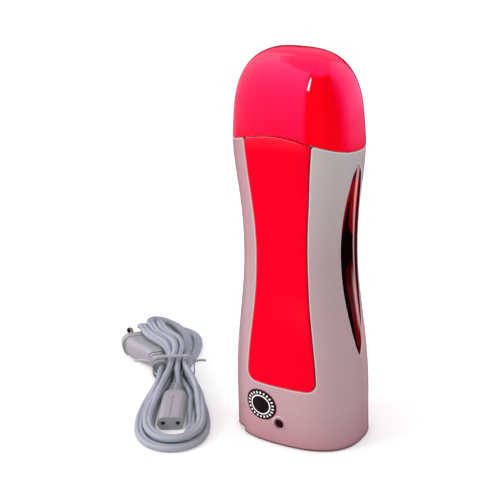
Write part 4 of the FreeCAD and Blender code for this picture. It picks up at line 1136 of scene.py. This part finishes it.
FIN = {
    "pearl_white": pearl_finish(),
    "panel_red": panel_finish(),
    "window_smoke": smoke_finish(),
    "badge_black": badge_finish(),
    "cap_red": cap_finish(),
    "lens_red": lens_finish(),
    "cord_grey": cord_finish(),
    "inner_white": plastic("inner_white", (0.62, 0.55, 0.55, 1), 0.42, grain=700.0, bump=0.12).m,
    "base_white": plastic("base_white", (0.58, 0.52, 0.52, 1), 0.5, grain=600.0, bump=0.2).m,
    "inlet_black": plastic("inlet_black", (0.018, 0.017, 0.017, 1), 0.38, tint=0.6, grain=800.0, bump=0.15).m,
    "plug_grey": plastic("plug_grey", (0.290, 0.305, 0.315, 1), 0.44, grain=1100.0, bump=0.22, tint=0.9).m,
    "sleeve_dark": plastic("sleeve_dark", srgb(58, 52, 46), 0.4, grain=900.0, bump=0.1, tint=0.7).m,
    "tie_grey": plastic("tie_grey", (0.330, 0.350, 0.375, 1), 0.36, grain=1200.0, bump=0.1, tint=0.9).m,
    "fuse_body": plastic("fuse_body", (0.46, 0.36, 0.22, 1), 0.45, grain=900.0, bump=0.2, tint=0.7).m,
    "film_amber": plastic("film_amber", (0.55, 0.22, 0.03, 1), 0.2, grain=500.0, bump=0.05, tint=0.8).m,
    "ptc_ceramic": plastic("ptc_ceramic", (0.09, 0.085, 0.08, 1), 0.75, grain=1500.0, bump=0.5, tint=0.6).m,
    "resistor_body": plastic("resistor_body", (0.42, 0.30, 0.16, 1), 0.4, grain=900.0, bump=0.1, tint=0.8).m,
    "lamp_glass": plastic("lamp_glass", (0.75, 0.72, 0.70, 1), 0.06, spread=0.02, grain=200.0, bump=0.02).m,
    "wire_brown": plastic("wire_brown", (0.10, 0.035, 0.015, 1), 0.4, grain=1200.0, bump=0.15, tint=0.7).m,
    "wire_blue": plastic("wire_blue", (0.02, 0.08, 0.36, 1), 0.4, grain=1200.0, bump=0.15, tint=0.7).m,
    "wire_black": plastic("wire_black", (0.02, 0.02, 0.022, 1), 0.45, grain=1200.0, bump=0.15, tint=0.6).m,
    "foot_rubber": rubber("foot_rubber", (0.035, 0.034, 0.034, 1), 0.7),
    "chamber_aluminium": metal("chamber_aluminium", (0.74, 0.74, 0.75, 1), 0.34).m,
    "electrode_aluminium": metal("electrode_aluminium", (0.80, 0.80, 0.80, 1), 0.28, stretch=(30, 1, 1)).m,
    "steel": metal("steel", (0.56, 0.56, 0.57, 1), 0.26, stretch=(1, 1, 1)).m,
    "pin_brass": metal("pin_brass", (0.72, 0.58, 0.30, 1), 0.22, stretch=(6, 6, 1)).m,
}

SLOT_OF = {
    "chamber_collar": "inner_white", "cartridge_chamber": "chamber_aluminium", "ptc_element": "ptc_ceramic",
    "heater_electrodes": "electrode_aluminium", "insulating_sheets": "film_amber", "clamp_plate": "steel",
    "clamp_screws": "steel", "thermal_fuse": "fuse_body", "inlet_housing": "inlet_black", "inlet_pins": "pin_brass",
    "base_plate": "base_white", "base_screws": "steel", "case_screws": "steel", "rubber_feet": "foot_rubber",
    "pilot_lens": "lens_red", "neon_lamp": "lamp_glass", "lamp_resistor": "resistor_body", "live_wire": "wire_brown",
    "fuse_wire": "wire_brown", "neutral_wire": "wire_blue", "lamp_leads": "wire_black", "plug_body": "plug_grey",
    "plug_pins": "pin_brass", "plug_pin_sleeves": "sleeve_dark", "appliance_connector": "plug_grey",
    "connector_contacts": "pin_brass", "twist_tie": "tie_grey",
}
for node, slot_name in SLOT_OF.items():
    ob = frame["nodes"][node]
    ob.data.materials.clear()
    ob.data.materials.append(FIN[slot_name])
    ob.data.polygons.foreach_set("use_smooth", [True] * len(ob.data.polygons))
    ob.data.set_sharp_from_angle(angle=math.radians(34))

# ---------------------------------------------------------------------------
# pieces
# ---------------------------------------------------------------------------
make_cord(FIN["cord_grey"])
make_half("casing_front", False, FIN["pearl_white"])
make_half("casing_rear", True, FIN["pearl_white"])
make_panel(FIN["panel_red"])
make_window("smoke_window_right", 1, FIN["window_smoke"])
make_window("smoke_window_left", -1, FIN["window_smoke"])
make_cap(FIN["cap_red"])
make_badge(FIN["badge_black"])

# ---------------------------------------------------------------------------
# floor and light
# ---------------------------------------------------------------------------
floor_mesh = bpy.data.meshes.new("floor")
floor_mesh.from_pydata([(-30, -30, 0), (30, -30, 0), (30, 30, 0), (-30, 30, 0)], [], [[0, 1, 2, 3]])
floor = bpy.data.objects.new("floor", floor_mesh)
scene.collection.objects.link(floor)
fm = Mat("floor_white")
fm.color(fm.mix(fm.remap(fm.noise(6.0, 2.0), 0.3, 0.7, 0, 1), (0.93, 0.93, 0.935, 1), (0.945, 0.945, 0.95, 1)))
fm.set(Roughness=0.9, Specular_IOR_Level=0.0, Emission_Color=(1, 1, 1, 1), Emission_Strength=0.13)
floor_mesh.materials.append(fm.m)
floor.visible_glossy = False

world = bpy.data.worlds.new("studio")
scene.world = world
world.use_nodes = True
world.node_tree.nodes["Background"].inputs["Color"].default_value = (1.0, 1.0, 1.0, 1.0)
world.node_tree.nodes["Background"].inputs["Strength"].default_value = 0.86
world.cycles_visibility.glossy = False


def softbox(name, at, look, w, h, power, color=(1, 1, 1)):
    """Soft light that isn't mirrored in the gloss."""
    li = bpy.data.lights.new(name, "AREA")
    li.shape = "RECTANGLE"
    li.size, li.size_y = w, h
    li.energy = power
    li.color = color
    ob = bpy.data.objects.new(name, li)
    scene.collection.objects.link(ob)
    at, look = Vector(at), Vector(look)
    ob.location = at
    ob.rotation_euler = (look - at).to_track_quat("-Z", "Y").to_euler()
    ob.visible_glossy = False
    return ob


INNER = ("cartridge_chamber", "chamber_collar", "inlet_housing", "inlet_pins", "plug_pins", "connector_contacts", "case_screws",
         "clamp_plate", "clamp_screws", "heater_electrodes", "base_screws")


def card(name, az, el, strength, color=(1, 1, 1), soft=(0.1, 0.1, 0.1, 0.1), dim=1.0, power=1.0, rad=1.5, lean=0.0, high=None, only=(), skip=()):
    """White card round the object, seen only as a reflection: az and el are its edges in degrees,
    soft the width of its soft edges (from az[0], to az[1], from el[0], to el[1]) as shares, dim and
    power its fall-off towards el[0], lean the turn of its upper edge against the lower one, high its
    colour along the upper edge. Only the objects of only mirror it, and those of skip don't,
    nor do the metal and inner pieces, which have a plain white card of their own."""
    n, m = 24, 12
    verts, faces, uvs = [], [], []
    for i in range(n + 1):
        for j in range(m + 1):
            a = math.radians(az[0] + (az[1] - az[0]) * i / n + lean * (j / m - 0.5))
            e = math.radians(el[0] + (el[1] - el[0]) * j / m)
            verts.append((rad * math.cos(a) * math.cos(e), rad * math.sin(a) * math.cos(e), 0.12 + rad * math.sin(e)))
            uvs.append((i / n, j / m))
    for i in range(n):
        for j in range(m):
            k = i * (m + 1) + j
            faces.append([k, k + 1, k + m + 2, k + m + 1])
    me = bpy.data.meshes.new(name)
    me.from_pydata(verts, [], faces)
    uv = me.uv_layers.new(name="uv")
    for lp in me.loops:
        uv.data[lp.index].uv = uvs[lp.vertex_index]
    mt = Mat(name)
    nt = mt.nt
    nt.nodes.remove(mt.b)
    em = nt.nodes.new("ShaderNodeEmission")
    em.inputs["Color"].default_value = (*color, 1.0)
    sx = nt.nodes.new("ShaderNodeSeparateXYZ")
    mt.link(mt.tc.outputs["UV"], sx.inputs[0])
    f = None
    for out, lo, hi in ((sx.outputs["X"], soft[0], soft[1]), (sx.outputs["Y"], soft[2], soft[3])):
        for v, w in ((out, lo), (mt.math("SUBTRACT", 1.0, out), hi)):
            q = mt.remap(v, 0.0, max(w, 1e-3), 0.0, 1.0)
            f = q if f is None else mt.math("MULTIPLY", f, q)
    if high:
        mt.link(mt.mix(mt.math("POWER", sx.outputs["Y"], power), (*color, 1.0), (*high, 1.0)), em.inputs["Color"])
    fall = mt.remap(mt.math("POWER", sx.outputs["Y"], power), 0.0, 1.0, dim, 1.0)
    mt.link(mt.math("MULTIPLY", fall, strength), em.inputs["Strength"])
    clear = nt.nodes.new("ShaderNodeBsdfTransparent")
    both = nt.nodes.new("ShaderNodeMixShader")
    mt.link(f, both.inputs[0])
    mt.link(clear.outputs[0], both.inputs[1])
    mt.link(em.outputs[0], both.inputs[2])
    mt.link(both.outputs[0], nt.nodes["Material Output"].inputs["Surface"])
    me.materials.append(mt.m)
    ob = bpy.data.objects.new(name, me)
    scene.collection.objects.link(ob)
    ob.visible_camera = ob.visible_diffuse = ob.visible_shadow = ob.visible_transmission = False
    group = bpy.data.collections.new(name + "_set")
    for q in only or skip + INNER:
        group.objects.link(bpy.data.objects[q])
    for q in group.collection_objects:
        q.light_linking.link_state = "INCLUDE" if only else "EXCLUDE"
    ob.light_linking.receiver_collection = group
    return ob


softbox("top", (0.0, 0.1, 1.8), (0, 0, 0), 2.4, 2.4, 9.0)
softbox("key", (-1.05, -0.88, 0.55), (0, 0, 0.10), 0.8, 0.9, 15.0, (1.0, 0.82, 0.86))
card("card_left", (-196, -84), (-17, 64), 3.3, (1.0, 0.58, 1.15), (0.04, 0.07, 0.12, 0.05), 0.30, 1.4, high=(1.0, 1.25, 1.25),
     skip=("casing_front", "casing_rear", "smoke_window_left", "smoke_window_right"))
card("card_right", (-2, 86), (-17, 62), 2.3, (1.0, 0.52, 1.15), (0.36, 0.08, 0.17, 0.10), 0.8, lean=-24.0, high=(1.0, 0.9, 1.2),
     skip=("smoke_window_left", "smoke_window_right"))
card("card_edge", (-14, 34), (-17, 45), 0.62, (1.0, 0.10, 1.15), (0.25, 0.1, 0.17, 0.2), rad=1.56, lean=-24.0,
     skip=("smoke_window_left", "smoke_window_right"))
card("card_back", (60, 150), (12, 60), 1.2, (1.0, 0.62, 1.10), (0.2, 0.06, 0.3, 0.05), rad=1.55)
card("card_behind", (136, 168), (-24, 62), 2.6, (1.0, 0.62, 1.15), (0.3, 0.02, 0.12, 0.05), 0.35, 1.4, rad=1.53,
     high=(1.0, 1.2, 1.25), skip=("casing_front", "casing_rear"))
card("card_over", (-180, 180), (54, 89.5), 1.9, (1.0, 0.66, 1.10), (0.0, 0.0, 0.25, 0.0), rad=1.6)
card("card_streak", (64.5, 71.5), (-27, -16), 3.2, (1.0, 0.58, 0.62), (0.25, 0.25, 0.15, 0.10), lean=-7.0)
card("card_streak_low", (56.5, 65.5), (-20.4, -8), 4.6, (1.0, 0.60, 0.60), (0.3, 0.25, 0.12, 0.3), rad=1.7, lean=-6.0,
     only=("smoke_window_right",))
card("card_spark", (-84, -79), (31, 54), 42.0, (1, 2.6, 0.8), (0.25, 0.25, 0.1, 0.2), rad=1.4, lean=4.0, only=("lid",))

card("card_plain", (-180, 180), (0, 89.5), 0.85, soft=(0.0, 0.0, 0.15, 0.0), dim=0.7, rad=1.65, only=INNER)

scene.view_settings.view_transform = "Standard"
scene.view_settings.look = "None"
scene.view_settings.exposure = 0.0
scene.view_settings.gamma = 1.0
